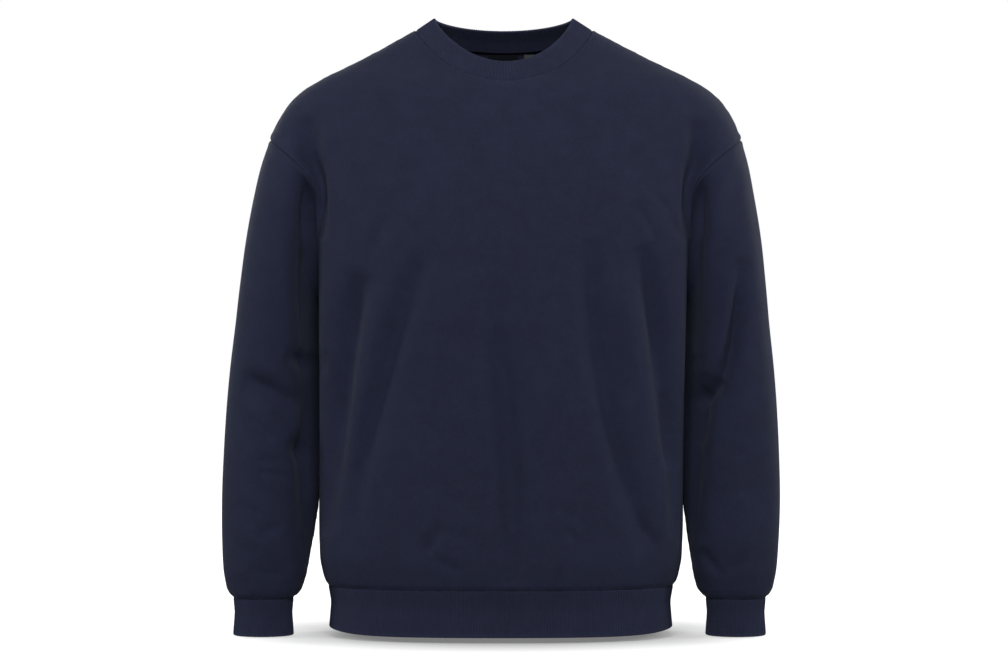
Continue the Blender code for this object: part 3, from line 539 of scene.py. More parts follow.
side_end = np.array([table_at(TORSO, HEM_SEAM)[0], -0.010, HEM_SEAM])
side_seam = np.linspace(0.0, 1.0, SIDE_POINTS)[:, None]
side_seam = settle(off_body, underarm * (1 - side_seam) + side_end * side_seam)
side_seam[:, 2] = np.minimum(side_seam[:, 2], underarm[2])
side_seam[0] = underarm
side_seam[-1, 2] = HEM_SEAM
SIDE_SHARES = np.concatenate([np.linspace(0.0, 0.90, SIDE_ROWS - 1), [0.955, 1.0]])


def hem_line(name, shares):
    """The lower edge of the front or back panel, from -X to +X."""
    facing = -1.0 if name == "front" else 1.0
    flare = np.sin(np.linspace(-1.0, 1.0, HEM_POINTS) * math.pi / 2) * side_seam[-1, 0]
    level = np.full(HEM_POINTS, HEM_SEAM)
    depth = halve(lambda y: off_torso(np.stack([flare * 0.9995, y, level], axis=1)),
                  np.full(HEM_POINTS, side_seam[-1, 1]), np.full(HEM_POINTS, facing * 0.2))
    line = np.stack([flare, depth, level], axis=1)
    line[0] = side_seam[-1] * MIRROR
    line[-1] = side_seam[-1]
    return along(line, shares)


print("side seam length", round(float(np.linalg.norm(np.diff(side_seam, axis=0), axis=1).sum()), 3))

# %% [markdown]
# ## From seams to panels
#
# Between its seams a panel is a grid. A coarse grid is laid first and evened out on the form, because
# that takes many rounds. Then it is divided finely, and the fine points need only a few rounds to
# settle. The rows and columns crowd together beside the seams, where the cloth dips into the stitching,
# and stay wide elsewhere, which saves a great many points.

# %% A coarse panel


def border_lines(name, rows, columns):
    """The four borders of a body panel at any rows and columns: top, bottom, left and right."""
    rows = np.asarray(rows, float)
    columns = np.asarray(columns, float)
    right = np.where((rows <= ARMHOLE_ROWS)[:, None],
                     along(armhole[name], np.clip(rows / ARMHOLE_ROWS, 0, 1)),
                     along(side_seam, np.interp(rows - ARMHOLE_ROWS, np.arange(SIDE_ROWS + 1),
                                                SIDE_SHARES)))
    neck = neck_half(name, np.clip(columns, SHOULDER_COLUMNS, last_column))
    at_left = shoulder_seam(np.clip((SHOULDER_COLUMNS - columns) / SHOULDER_COLUMNS, 0, 1)) * MIRROR
    at_right = shoulder_seam(np.clip((columns - last_column) / SHOULDER_COLUMNS, 0, 1))
    top = np.where((columns <= SHOULDER_COLUMNS)[:, None], at_left, neck)
    top = np.where((columns >= last_column)[:, None], at_right, top)
    return top, hem_line(name, columns / ACROSS), right * MIRROR, right


def patch(top, bottom, left, right):
    """A grid between four lines, rows from top to bottom and columns from left to right."""
    length = np.linalg.norm(np.diff(right, axis=0), axis=1)
    v = (np.concatenate([[0.0], np.cumsum(length)]) / length.sum())[:, None, None]
    u = np.linspace(0.0, 1.0, len(top))[None, :, None]
    rows = left[:, None] * (1 - u) + right[:, None] * u
    lines = top[None] * (1 - v) + bottom[None] * v
    corners = (top[0] * (1 - u) * (1 - v) + top[-1] * u * (1 - v)
               + bottom[0] * (1 - u) * v + bottom[-1] * u * v)
    return rows + lines - corners


def relax(off, grid, rounds, closed=False):
    """Evens out the inner points of a grid and keeps them on the form."""
    grid = grid.copy()
    for _ in range(rounds):
        if closed:
            inner = grid[1:-1]
            sides = (np.roll(inner, 1, axis=1) + np.roll(inner, -1, axis=1)) / 2
            grid[1:-1] += 0.5 * ((sides + (grid[:-2] + grid[2:]) / 2) / 2 - inner)
            grid[1:-1] = settle(off, grid[1:-1], rounds=2)
        else:
            around_it = (grid[1:-1, :-2] + grid[1:-1, 2:] + grid[:-2, 1:-1] + grid[2:, 1:-1]) / 4
            grid[1:-1, 1:-1] += 0.5 * (around_it - grid[1:-1, 1:-1])
            grid[1:-1, 1:-1] = settle(off, grid[1:-1, 1:-1], rounds=2)
    return grid


def coarse_body(name):
    """The front or back as a coarse grid."""
    rows = np.arange(ARMHOLE_ROWS + SIDE_ROWS + 1)
    grid = patch(*border_lines(name, rows, np.arange(ACROSS + 1)))
    inside = grid[1:-1, 1:-1].copy()
    inside[..., 1] += -0.02 if name == "front" else 0.02
    grid[1:-1, 1:-1] = settle(off_body, inside)
    return relax(off_body, grid, 30)


coarse = {name: coarse_body(name) for name in ("front", "back")}
print("coarse body panels:", coarse["front"].shape[:2], "points each")

# %% A coarse sleeve


def coarse_sleeve():
    """Columns round the arm from the shoulder tip over the front to the underarm and back."""
    shares = np.linspace(0.0, 1.0, ARMHOLE_ROWS + 1)
    loop = np.concatenate([along(armhole["front"], shares), along(armhole["back"], shares)[1:-1][::-1]])
    inner, outer, middle, depth, _ = table_at(ARM, loop[:, 2])
    start = np.unwrap(np.arctan2((loop[:, 1] - middle) / depth,
                                 (loop[:, 0] - (inner + outer) / 2) / ((outer - inner) / 2)))
    finish = start[0] - np.arange(len(loop)) / len(loop) * 2 * math.pi
    if start[len(loop) // 2] > start[0]:
        finish = 2 * start[0] - finish
    rows = []
    for v in np.concatenate([np.linspace(0.0, 0.93, SLEEVE_ROWS - 1), [0.972, 1.0]]):
        turn = min(v * 1.6, 1.0)
        angle = start * (1 - turn) + finish * turn
        height = loop[:, 2] * (1 - v) + CUFF_SEAM * v
        inner, outer, middle, depth, _ = table_at(ARM, height)
        x = (inner + outer) / 2 + (outer - inner) / 2 * np.cos(angle)
        rows.append(np.stack([x, middle + depth * np.sin(angle), height], axis=1))
    grid = np.array(rows)
    grid[0] = loop
    grid[1:-1] = settle(off_sleeve, grid[1:-1])
    return relax(off_sleeve, grid, 6, closed=True)


coarse["sleeve"] = coarse_sleeve()
print("a coarse sleeve:", coarse["sleeve"].shape[:2], "points")

# %% Divide a grid, finest beside the seams
# Places of the first points beside a seam, in cells
NEAR = np.array([0.0, 0.022, 0.048, 0.080, 0.118, 0.165, 0.225, 0.310, 0.430, 0.600])


def divisions(cells, per_cell, start=True, finish=True):
    """Fractional places along a grid's cells, crowded at the ends that have a seam."""
    low = NEAR if start else np.array([0.0])
    high = cells - NEAR[::-1] if finish else np.array([float(cells)])
    count = int(round((high[0] - low[-1]) * per_cell)) + 1
    return np.concatenate([low, np.linspace(low[-1], high[0], count)[1:-1], high])


def between(grid, rows, columns):
    """A grid's points at fractional rows and columns."""
    r = np.clip(rows.astype(int), 0, grid.shape[0] - 2)
    c = np.clip(columns.astype(int), 0, grid.shape[1] - 2)
    v = (rows - r)[:, None, None]
    u = (columns - c)[None, :, None]
    upper = grid[r][:, c] * (1 - u) + grid[r][:, c + 1] * u
    lower = grid[r + 1][:, c] * (1 - u) + grid[r + 1][:, c + 1] * u
    return upper * (1 - v) + lower * v


def fine_body(name, per_cell):
    """A finely divided body panel whose borders are the exact seams."""
    rows = divisions(ARMHOLE_ROWS + SIDE_ROWS, per_cell)
    columns = divisions(ACROSS, per_cell)
    grid = between(coarse[name], rows, columns)
    top, bottom, left, right = border_lines(name, rows, columns)
    near_top, near_bottom = (np.clip(1 - part, 0, 1)[:, None, None] for part in (rows, rows[-1] - rows))
    near_left, near_right = (np.clip(1 - part, 0, 1)[None, :, None]
                             for part in (columns, columns[-1] - columns))
    grid = grid + (top - grid[0])[None] * near_top + (bottom - grid[-1])[None] * near_bottom
    grid = grid + (left - grid[:, 0])[:, None] * near_left + (right - grid[:, -1])[:, None] * near_right
    grid[0] = top
    grid[-1] = bottom
    grid[:, 0] = left
    grid[:, -1] = right
    grid[1:-1, 1:-1] = settle(off_body, grid[1:-1, 1:-1], rounds=5)
    return grid, rows, columns


body = {name: fine_body(name, 7) for name in ("front", "back")}
print("body panels:", body["front"][0].shape[:2], "points each")

# %% The sleeve, divided, with its columns starting at the underarm


def fine_sleeve(per_row, per_column):
    """A finely divided sleeve, whose top is the exact armhole."""
    rows = divisions(SLEEVE_ROWS, per_row)
    columns = divisions(2 * ARMHOLE_ROWS, per_column)
    grid = np.roll(coarse["sleeve"], -ARMHOLE_ROWS, axis=1)
    grid = np.concatenate([grid, grid[:, :1]], axis=1)
    fine = between(grid, rows, columns)[:, :-1]
    columns = columns[:-1]
    back_share = np.clip(1 - columns / ARMHOLE_ROWS, 0, 1)
    front_share = np.clip((columns - ARMHOLE_ROWS) / ARMHOLE_ROWS, 0, 1)
    top = np.where((columns <= ARMHOLE_ROWS)[:, None], along(armhole["back"], back_share),
                   along(armhole["front"], front_share))
    near_top = np.clip(1 - rows, 0, 1)[:, None, None]
    fine = fine + (top - fine[0])[None] * near_top
    fine[0] = top
    end = settle(off_sleeve, fine[-1], rounds=6)
    end[:, 2] = CUFF_SEAM
    fine[-1] = settle(off_sleeve, end, rounds=2)
    fine[-1, :, 2] = CUFF_SEAM
    fine[1:-1] = settle(off_sleeve, fine[1:-1], rounds=6)
    return fine


sleeve = fine_sleeve(10, 7)
print("a sleeve:", sleeve.shape[:2], "points")

# %% [markdown]
# ## Folds
#
# Heavy fleece hangs in a few long, shallow folds, and pinches where an arm bends. A cloth simulation
# puts folds where it likes, and with nobody in the garment it has nothing to drape over. So each fold
# is laid along a short curve: a start, a bend and an end, with its width and depth. A depth
# below zero is a trough, and above zero a ridge. No two are alike, and the two sides of the garment
# differ, as on a real one.

# %% Where the large folds run
# In millimetres: start, bend and end as x and z, then width and depth
FOLDS = {
    "front": [
        (-162, -290, -185, -416, -202, -593, 17, -21), (-159, -282, -172, -319, -187, -376, 16, -6),
        (-140, -296, -166, -410, -190, -570, 13, 4), (-90, -264, -133, -399, -178, -606, 13, -12),
        (-8, -290, -4, -359, 5, -456, 16, -3.8), (-2, -353, 9, -504, 15, -650, 16, -11),
        (99, -248, 115, -416, 176, -627, 13, -12), (123, -308, 127, -376, 137, -439, 13, -4),
        (152, -313, 162, -416, 190, -570, 13, 4), (156, -256, 180, -359, 198, -513, 15, -20),
        (195, -422, 199, -496, 201, -598, 9, -10), (-85, -607, -80, -594, -68, -575, 7, -3.6),
        (-76, -612, -61, -621, -43, -630, 6, -3), (-150, -262, -143, -245, -139, -219, 9, -3),
        (146, -208, 164, -228, 180, -264, 6, -2.4), (169, -198, 189, -219, 208, -253, 6, -2.6),
        (155, -194, 180, -212, 203, -235, 5, 1.6), (74, -579, 82, -588, 90, -602, 6, -1.8),
        (158, -561, 170, -586, 184, -606, 7, -4), (-203, -194, -191, -219, -186, -251, 8, -2.4),
        (-236, -105, -224, -159, -217, -251, 13, -18), (-210, -114, -204, -159, -205, -216, 9, 2.5),
        (226, -107, 222, -157, 218, -248, 12, -16), (208, -118, 205, -159, 205, -211, 9, 2.5),
        (-252, -202, -252, -283, -246, -365, 11, 2), (-204, -397, -227, -390, -251, -379, 13, -8),
        (-302, -411, -274, -420, -229, -446, 11, -12), (-241, -432, -235, -457, -238, -481, 9, 5),
        (-203, -502, -227, -495, -248, -485, 12, -6), (-293, -453, -278, -466, -264, -481, 4, -2.4),
        (-288, -507, -266, -505, -243, -512, 5, -2), (-283, -517, -264, -520, -242, -521, 4, -1.8),
        (-306, -553, -291, -561, -274, -566, 6, -1.8), (-280, -589, -266, -584, -251, -580, 6, -2),
        (-293, -628, -268, -635, -240, -636, 8, -3.6), (242, -208, 237, -295, 233, -376, 12, 3),
        (276, -270, 267, -370, 243, -427, 9, -17), (258, -413, 235, -428, 207, -437, 9, -9),
        (246, -406, 232, -441, 219, -488, 12, -8), (253, -448, 246, -481, 245, -539, 14, 2),
        (267, -154, 251, -191, 244, -235, 6, 1.8), (275, -165, 267, -196, 255, -231, 8, -2.4),
        (231, -608, 243, -623, 258, -641, 6, -4), (281, -469, 291, -515, 291, -573, 14, -1.6),
    ],
    "back": [
        (-172, -290, -160, -410, -176, -520, 14, -13), (168, -280, 152, -400, 170, -540, 15, -13.5),
        (-80, -300, -98, -430, -90, -560, 18, -11.4), (70, -330, 94, -450, 82, -590, 18, -12),
        (0, -440, -6, -520, 4, -600, 18, -7.8), (-128, -300, -132, -420, -140, -560, 18, 5.2),
        (122, -310, 126, -430, 130, -560, 18, 4.7), (140, -150, 172, -205, 196, -260, 14, -9.1),
        (-142, -146, -170, -200, -196, -250, 14, -8.6), (-232, -105, -225, -145, -219, -200, 10, -10.4),
        (232, -105, 225, -145, 219, -200, 10, -10.9), (-296, -370, -262, -395, -230, -385, 12, -11.2),
        (-300, -450, -268, -474, -236, -470, 11, -8.3), (-298, -545, -270, -562, -242, -556, 11, -7),
        (290, -340, 262, -400, 232, -420, 13, -10.9), (300, -470, 268, -500, 238, -490, 11, -7.8),
        (296, -560, 270, -580, 244, -576, 11, -6.8),
    ],
}

# Hollows along the inner sides of the sleeves, where they press against the body
INNER_FOLDS = {
    "front": [
        (-213, -150, -212, -274, -211, -400, 24, -19), (-211, -380, -212, -480, -217, -620, 24, -19),
        (208, -150, 206, -274, 206, -400, 23, -18), (208, -380, 208, -481, 208, -600, 24, -19),
    ],
}

# %% Smaller creases
CREASES = {
    "front": [
        (-85, -520, -60, -545, -30, -552, 8, -0.9), (-95, -560, -60, -585, -20, -592, 8, -1),
        (60, -545, 85, -570, 110, -577, 8, -0.9), (190, -440, 178, -480, 172, -520, 7, -1.1),
        (-300, -600, -275, -620, -245, -622, 9, -1.2), (300, -604, 272, -628, 246, -634, 9, -1.2),
        (302, -480, 280, -496, 254, -500, 6, -1), (300, -530, 276, -541, 250, -540, 7, -1),
        (-304, -424, -288, -436, -270, -440, 6, -1.1),
    ],
    "back": [
        (-292, -420, -264, -432, -238, -430, 7, -1.8), (-294, -500, -268, -520, -240, -520, 7, -1.6),
        (292, -430, 266, -450, 240, -452, 7, -1.8), (296, -520, 268, -540, 240, -536, 7, -1.5),
        (-50, -70, -20, -82, 30, -80, 12, -1.6), (-120, -560, -80, -590, -30, -600, 9, -1.5),
        (40, -590, 80, -606, 130, -604, 9, -1.5),
    ],
}
for word, table in (("large folds", FOLDS), ("hollows", INNER_FOLDS), ("creases", CREASES)):
    print(word, {side: len(folds) for side, folds in table.items()})

# %% How far folds move the cloth
PARTS = 8       # straight parts that stand for a fold's curve


def fold_curve(start, bend, end):
    """Points along the smooth curve through the three places of a fold."""
    t = np.linspace(0.0, 1.0, PARTS + 1)[:, None]
    ends = start[None] * (1 - t) * (1 - 2 * t) + end[None] * t * (2 * t - 1)
    return ends + bend[None] * 4 * t * (1 - t)


def near_curve(line, spots):
    """Each spot's distance from a curve, and how far along the curve it is nearest."""
    nearest = np.full(len(spots), 9.0)
    place = np.zeros(len(spots))
    for k in range(PARTS):
        run = line[k + 1] - line[k]
        share = np.clip(((spots - line[k]) @ run) / (run @ run), 0.0, 1.0)
        gap = np.linalg.norm(spots - line[k] - share[..., None] * run, axis=-1)
        place = np.where(gap < nearest, (k + share) / PARTS, place)
        nearest = np.minimum(gap, nearest)
    return nearest, np.clip(place, 0.0, 1.0)


def fold_relief(points, way, *tables):
    """How far folds move each point along its outward direction."""
    move = np.zeros(points.shape[:-1])
    here = points[..., [0, 2]]
    for side, facing in (("front", -1.0), ("back", 1.0)):
        faces = np.clip(way[..., 1] * facing * 2.0, 0.0, 1.0)
        for fold in [fold for table in tables for fold in table.get(side, [])]:
            start, bend, end, (width, depth) = np.array(fold).reshape(4, 2) / 1000
            line = fold_curve(start, bend, end)
            low, high = line.min(axis=0) - 3 * width, line.max(axis=0) + 3 * width
            close = ((here > low) & (here < high)).all(axis=-1) & (faces > 0)
            nearest, place = near_curve(line, here[close])
            taper = np.sin(math.pi * place) ** 0.7
            move[close] += depth * np.exp(-(nearest / width) ** 2) * taper * faces[close]
    return move


belly = body["front"][0]
deepest = fold_relief(belly, outward(off_body, belly)[0], FOLDS, CREASES).min()
print("the deepest fold of the front:", round(float(-deepest) * 1000, 1), "mm")

# %% [markdown]
# ## Seam relief
#
# Where two layers are sewn with an overlocked seam, the thread pulls the cloth down into a narrow
# groove, and the seam allowance folded inside lifts a soft welt a few millimetres away. The cloth also
# puckers a little between stitches. A bump map alone would look flat from the side, so dip, welt and
# puckers are real shape. At the armhole the body is lapped over the sleeve, so it stands a little
# higher there, and above a tight band the cloth swells out.

# %% Groove, welt and puckers
HOLD = 0.008                            # a seam holds folds down within about this distance
GROOVE_WIDTH = 0.0015
WELT_AT, WELT_WIDTH = 0.0050, 0.0028    # distance from the seam, and width
ROLL_AT, ROLL_WIDTH = 0.0090, 0.0075
PUCKER_WIDTH, STITCH_WIDTH = 0.010, 0.002


def waver(distance, seed, lengths=(0.011, 0.017, 0.029, 0.047)):
    """A smooth uneven wave along a seam, between about -1 and 1."""
    numbers = np.random.default_rng(seed)
    total = np.zeros_like(distance)
    for length in lengths:
        total += np.sin(distance / length * 2 * math.pi + numbers.uniform(0, 2 * math.pi))
    return total / len(lengths) * 1.4


def seam_relief(gap, distance, seed, groove=0.0007, welt=0.0005, pucker=0.0003, roll=0.0):
    """Relief beside a seam: gap is how far a point is from it, distance how far along it. roll is how
    far the cloth swells just above a tight band."""
    dip = -groove * np.exp(-(gap / GROOVE_WIDTH) ** 2)
    rise = welt * np.exp(-((gap - WELT_AT) / WELT_WIDTH) ** 2) * (1 + 0.35 * waver(distance, seed + 50))
    held = 1 - np.exp(-(gap / STITCH_WIDTH) ** 2)
    pull = pucker * waver(distance, seed) * np.exp(-(gap / PUCKER_WIDTH) ** 2) * held
    swell = roll * np.exp(-((gap - ROLL_AT) / ROLL_WIDTH) ** 2) * (1 + 0.25 * waver(distance, seed + 90))
    return dip + rise + pull + swell


def held_down(relief, gaps):
    """Relief that fades out beside each seam; gaps are the distances from the seams."""
    for gap in gaps:
        relief = relief * (1 - np.exp(-(gap / HOLD) ** 2))
    return relief


def away_from(grid, line):
    """Straight distance of each point of a grid from the matching point of one of its borders."""
    return np.linalg.norm(grid - line, axis=-1)


def lengths_along(grid, axis):
    """Distance from the first row (axis 0) or column (axis 1) to each point, along the grid."""
    step = np.linalg.norm(np.diff(grid, axis=axis), axis=-1)
    start = np.zeros_like(np.take(step, [0], axis=axis))
    return np.concatenate([start, np.cumsum(step, axis=axis)], axis=axis)


def across_seam(line, way, beside, closed=False):
    """For each point of a seam, the way into its cloth, level with the face and square to the seam."""
    if closed:
        line, way, beside = (np.concatenate([a, a[:1]]) for a in (line, way, beside))
    run = np.diff(line, axis=0)
    square = np.cross((way[:-1] + way[1:]) / 2, run)
    square /= np.maximum(np.linalg.norm(square, axis=1, keepdims=True), 1e-12)
    square *= np.sign((square * (beside - line)[:-1]).sum())
    before = np.roll(square, 1, axis=0) if closed else np.concatenate([square[:1], square])
    after = square if closed else np.concatenate([square, square[-1:]])
    return (before + after) / np.maximum(1 + (before * after).sum(axis=1, keepdims=True), 0.4)


def seam_moves(grid, way, borders, closed=False):
    """Moves of the points on borders, given as (border, line beside it), by half a seam's gap."""
    moves = np.zeros_like(grid)
    for border, beside in borders:
        moves[border] += across_seam(grid[border], way[border], grid[beside], closed) * SEAM_GAP / 2
    return moves


side_length = float(lengths_along(belly, 0)[-1, 0])
print("the front is", round(side_length, 3), "m long from shoulder tip to hem")

# %% Lean, and the way the left forearm hangs


def moved_across(points, moves):
    """Points moved sideways by a table of moves at heights."""
    moved = points.copy()
    moved[..., 0] += table_at(moves, points[..., 2])[0]
    return moved


def leaning(points):
    """Points moved as the whole garment leans."""
    return moved_across(points, LEAN)


def swung(points):
    """Points moved as the left forearm hangs."""
    return moved_across(points, SWING)


def mirrored(points):
    """Points on the other side of the garment."""
    return points * MIRROR


print("the left cuff hangs", round(float(table_at(SWING, CUFF_SEAM)[0]) * 1000, 1), "mm aside")

# %% [markdown]
# ## Walls of cloth
#
# Cloth has two faces. A single sheet of polygons would look like paper at the neck and the cuffs, and
# a Solidify modifier can't keep its edges on shared seams. So every piece is made of an outer skin, an
# inner skin and a rim that joins them. The piece also keeps the place of each point in the flat cloth,
# in metres, as a UV map, so the knit can follow the cut of the piece, and it keeps which points are on
# the brushed inside.

# %% Mesh from skins
SHARP = math.radians(64)        # edges that bend more than this are shaded sharp


def quads(rows, columns, closed=False):
    """Faces between the points of a grid, by their numbers; a closed one joins its last column to
    its first."""
    r = np.arange(rows - 1)[:, None]
    c = np.arange(columns if closed else columns - 1)[None]
    k = (c + 1) % columns
    faces = np.stack(np.broadcast_arrays(r * columns + c, (r + 1) * columns + c,
                                         (r + 1) * columns + k, r * columns + k), axis=-1)
    return faces.reshape(-1, 4)


def rim(a, b, closed=False):
    """Faces between two lines of points, given by their numbers."""
    if closed:
        a = np.append(a, a[0])
        b = np.append(b, b[0])
    return np.stack([a[:-1], a[1:], b[1:], b[:-1]], axis=-1)


def even_normals(mesh):
    """Turns all faces of a closed mesh outwards."""
    bm = bmesh.new()
    bm.from_mesh(mesh)
    bmesh.ops.recalc_face_normals(bm, faces=bm.faces)
    if bm.calc_volume(signed=True) < 0:
        bmesh.ops.reverse_faces(bm, faces=bm.faces)
    bm.to_mesh(mesh)
    bm.free()


def mesh_piece(name, points, faces, flat, inside, made, body="root"):
    """An object from points and faces. flat is the place of each face corner in the flat cloth."""
    mesh = bpy.data.meshes.new(name)
    mesh.vertices.add(len(points))
    mesh.vertices.foreach_set("co", np.ascontiguousarray(points, dtype=np.float32).ravel())
    mesh.loops.add(faces.size)
    mesh.polygons.add(len(faces))
    mesh.loops.foreach_set("vertex_index", np.ascontiguousarray(faces, dtype=np.int32).ravel())
    mesh.polygons.foreach_set("loop_start", np.arange(len(faces), dtype=np.int32) * 4)
    mesh.update(calc_edges=True)
    layer = mesh.uv_layers.new(name="cloth")
    layer.data.foreach_set("uv", np.ascontiguousarray(flat, dtype=np.float32).ravel())
    mask = mesh.attributes.new("inside", "FLOAT", "POINT")
    mask.data.foreach_set("value", np.ascontiguousarray(inside, dtype=np.float32))
    mesh.validate()
    even_normals(mesh)
    mesh.shade_smooth()
    mesh.set_sharp_from_angle(angle=SHARP)
    mesh.materials.append(made)
    piece = bpy.data.objects.new(name, mesh)
    bpy.context.scene.collection.objects.link(piece)
    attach(piece, body)
    return piece


print("faces of a grid of 3 by 4 points:", len(quads(3, 4)), "open,", len(quads(3, 4, closed=True)), "closed")

# %% A wall from an outer and an inner grid


def wall(name, outer, inner, across, down, made, closed=False):
    """A closed wall. across and down are the places in the flat cloth; a closed grid's have one more
    column than it has points."""
    rows, columns = outer.shape[:2]
    count = rows * columns
    points = np.concatenate([outer.reshape(-1, 3), inner.reshape(-1, 3)])
    place = np.stack([across, down], axis=-1).reshape(-1, 2)
    wide = across.shape[1]
    out, spots = quads(rows, columns, closed), quads(rows, wide)
    faces = [out, out[:, ::-1] + count]
    flat = [place[spots], place[spots[:, ::-1]]]
    number_of = np.arange(count).reshape(rows, columns)
    spot_of = np.arange(rows * wide).reshape(rows, wide)
    borders = [np.s_[0], np.s_[-1]]
    if not closed:
        borders += [np.s_[:, 0], np.s_[:, -1]]
    for border in borders:
        line, spot = number_of[border], spot_of[border]
        faces.append(rim(line, line + count, closed))
        flat.append(place[rim(spot, spot)])
    # The rims go round in different directions, so mesh_piece evens them out
    return mesh_piece(name, points, np.concatenate(faces), np.concatenate(flat),
                      np.repeat([0.0, 1.0], count), made)


print("the two skins of a fleece wall are", round(FLEECE * 1000, 1), "mm apart")

# %% [markdown]
# ## Finishes
#
# The outside of sweatshirt fleece is a smooth jersey knit: upright columns of little V-shaped loops,
# each about a millimetre wide. Its inside is brushed into a soft pile. The bands are knitted in ribs.
# Dyed cotton is never one even colour: it is a touch paler where it rubs, and mottled in between. The
# high folds and the tops of the ribs are also made paler, a painted highlight, and the gaps between the
# loops darker, a painted shade. Knit, pile and mottling are each a node group with named inputs, so that
# every material can use them with its own sizes. The shaders stay in the materials themselves. Making a
# node takes three or four lines, so a few short functions make the kinds that come up again and again.

# %% Small helpers for node trees


def new_group(name, inputs, outputs):
    """An empty shader node group. inputs are (label, kind, value), outputs are (label, kind)."""
    tree = bpy.data.node_groups.new(name, "ShaderNodeTree")
    for label, kind, value in inputs:
        socket = tree.interface.new_socket(label, in_out="INPUT", socket_type=kind)
        if value is not None:
            socket.default_value = value
    for label, kind in outputs:
        tree.interface.new_socket(label, in_out="OUTPUT", socket_type=kind)
    return tree, tree.nodes.new("NodeGroupInput").outputs, tree.nodes.new("NodeGroupOutput").inputs


def feed(tree, socket, value):
    """Links a socket to another node's output, or sets it to a value."""
    if isinstance(value, bpy.types.NodeSocket):
        tree.links.new(value, socket)
    else:
        socket.default_value = value


def number(tree, operation, *values):
    """Arithmetic on numbers."""
    node = tree.nodes.new("ShaderNodeMath")
    node.operation = operation
    for socket, value in zip(node.inputs, values):
        feed(tree, socket, value)
    return node.outputs[0]


def scaled(tree, vector, factors):
    """A vector with each part multiplied by its own factor."""
    node = tree.nodes.new("ShaderNodeVectorMath")
    node.operation = "MULTIPLY"
    feed(tree, node.inputs[0], vector)
    feed(tree, node.inputs[1], factors)
    return node.outputs[0]


def noise(tree, vector, scale, detail=3.0, roughness=0.55):
    """Soft random patches between 0 and 1."""
    node = tree.nodes.new("ShaderNodeTexNoise")
    feed(tree, node.inputs["Vector"], vector)
    feed(tree, node.inputs["Scale"], scale)
    node.inputs["Detail"].default_value = detail
    node.inputs["Roughness"].default_value = roughness
    return node.outputs["Fac"]


def mixed(tree, factor, a, b):
    """A colour between a and b."""
    node = tree.nodes.new("ShaderNodeMix")
    node.data_type = "RGBA"
    feed(tree, node.inputs[0], factor)
    feed(tree, node.inputs[6], a)
    feed(tree, node.inputs[7], b)
    return node.outputs[2]


def mask(tree, name):
    """The number that each point of a piece carries under a name."""
    node = tree.nodes.new("ShaderNodeAttribute")
    node.attribute_name = name
    return node.outputs["Fac"]


def placed(tree, group, values):
    """A node that uses a group, with a value or a link for each input named in values."""
    node = tree.nodes.new("ShaderNodeGroup")
    node.node_tree = group
    for label, value in values.items():
        feed(tree, node.inputs[label], value)
    return node


print("node helpers are ready; node groups so far:", len(bpy.data.node_groups))

# %% Node group: jersey knit
jersey, given, result = new_group(
    "jersey_knit",
    [("Place", "NodeSocketVector", None), ("Wale", "NodeSocketFloat", 0.0010),
     ("Course", "NodeSocketFloat", 0.0008)],
    [("Height", "NodeSocketFloat"), ("Painted_gap_shade", "NodeSocketFloat")])
split = jersey.nodes.new("ShaderNodeSeparateXYZ")
jersey.links.new(given["Place"], split.inputs[0])
column = number(jersey, "FRACT", number(jersey, "DIVIDE", split.outputs[0], given["Wale"]))
from_middle_line = number(jersey, "ABSOLUTE", number(jersey, "SUBTRACT", column, 0.5))
off_middle = number(jersey, "MULTIPLY", from_middle_line, 2.0)
row = number(jersey, "DIVIDE", split.outputs[1], given["Course"])
slanted = number(jersey, "ADD", row, number(jersey, "MULTIPLY", off_middle, 0.8))
loop = number(jersey, "SINE", number(jersey, "MULTIPLY", slanted, 2 * math.pi))
crown = number(jersey, "SUBTRACT", 1.0, number(jersey, "POWER", off_middle, 2.5))
height = number(jersey, "MULTIPLY", crown, number(jersey, "MULTIPLY_ADD", loop, 0.22, 0.78))
jersey.links.new(height, result["Height"])
jersey.links.new(number(jersey, "SUBTRACT", 1.0, height), result["Painted_gap_shade"])
print("group:", jersey.name, len(jersey.nodes), "nodes")

# %% Node group: brushed pile
pile, given, result = new_group(
    "brushed_pile",
    [("Place", "NodeSocketVector", None), ("Clump", "NodeSocketFloat", 420.0)],
    [("Height", "NodeSocketFloat"), ("Shade", "NodeSocketFloat")])
clumps = noise(pile, scaled(pile, given["Place"], (1.0, 0.55, 1.0)), given["Clump"], 4.0, 0.7)
fibres = noise(pile, scaled(pile, given["Place"], (1.0, 0.25, 1.0)),
               number(pile, "MULTIPLY", given["Clump"], 3.2), 2.0, 0.6)
pile.links.new(number(pile, "MULTIPLY_ADD", clumps, 0.7, number(pile, "MULTIPLY", fibres, 0.3)),
               result["Height"])
pile.links.new(clumps, result["Shade"])
print("group:", pile.name)

# %% Node group: dyed cloth, mottled and worn, with painted highlight and painted shade
dyed, given, result = new_group(
    "dyed_cloth",
    [("Place", "NodeSocketVector", None), ("Dye", "NodeSocketColor", (0.02, 0.02, 0.04, 1.0)),
     ("Mottle", "NodeSocketFloat", 0.10), ("Wear_and_painted_highlight", "NodeSocketFloat", 0.0),
     ("Painted_gap_shade", "NodeSocketFloat", 0.0), ("Depth", "NodeSocketFloat", 0.35)],
    [("Color", "NodeSocketColor"), ("Roughness", "NodeSocketFloat")])
broad = noise(dyed, given["Place"], 11.0, 3.0, 0.55)
patchy = noise(dyed, given["Place"], 55.0, 3.0, 0.6)
fine = noise(dyed, given["Place"], 260.0, 2.0, 0.6)
uneven = number(dyed, "MULTIPLY_ADD", fine, 1.2, number(dyed, "MULTIPLY_ADD", patchy, 1.3, broad))
shade = number(dyed, "MULTIPLY_ADD", number(dyed, "SUBTRACT", uneven, 1.75), given["Mottle"], 1.0)
# Painted shade: the colour is made darker in the gaps between the loops of a knit or the threads of a weave
shade = number(dyed, "MULTIPLY", shade,
               number(dyed, "SUBTRACT", 1.0, number(dyed, "MULTIPLY", given["Painted_gap_shade"], given["Depth"])))
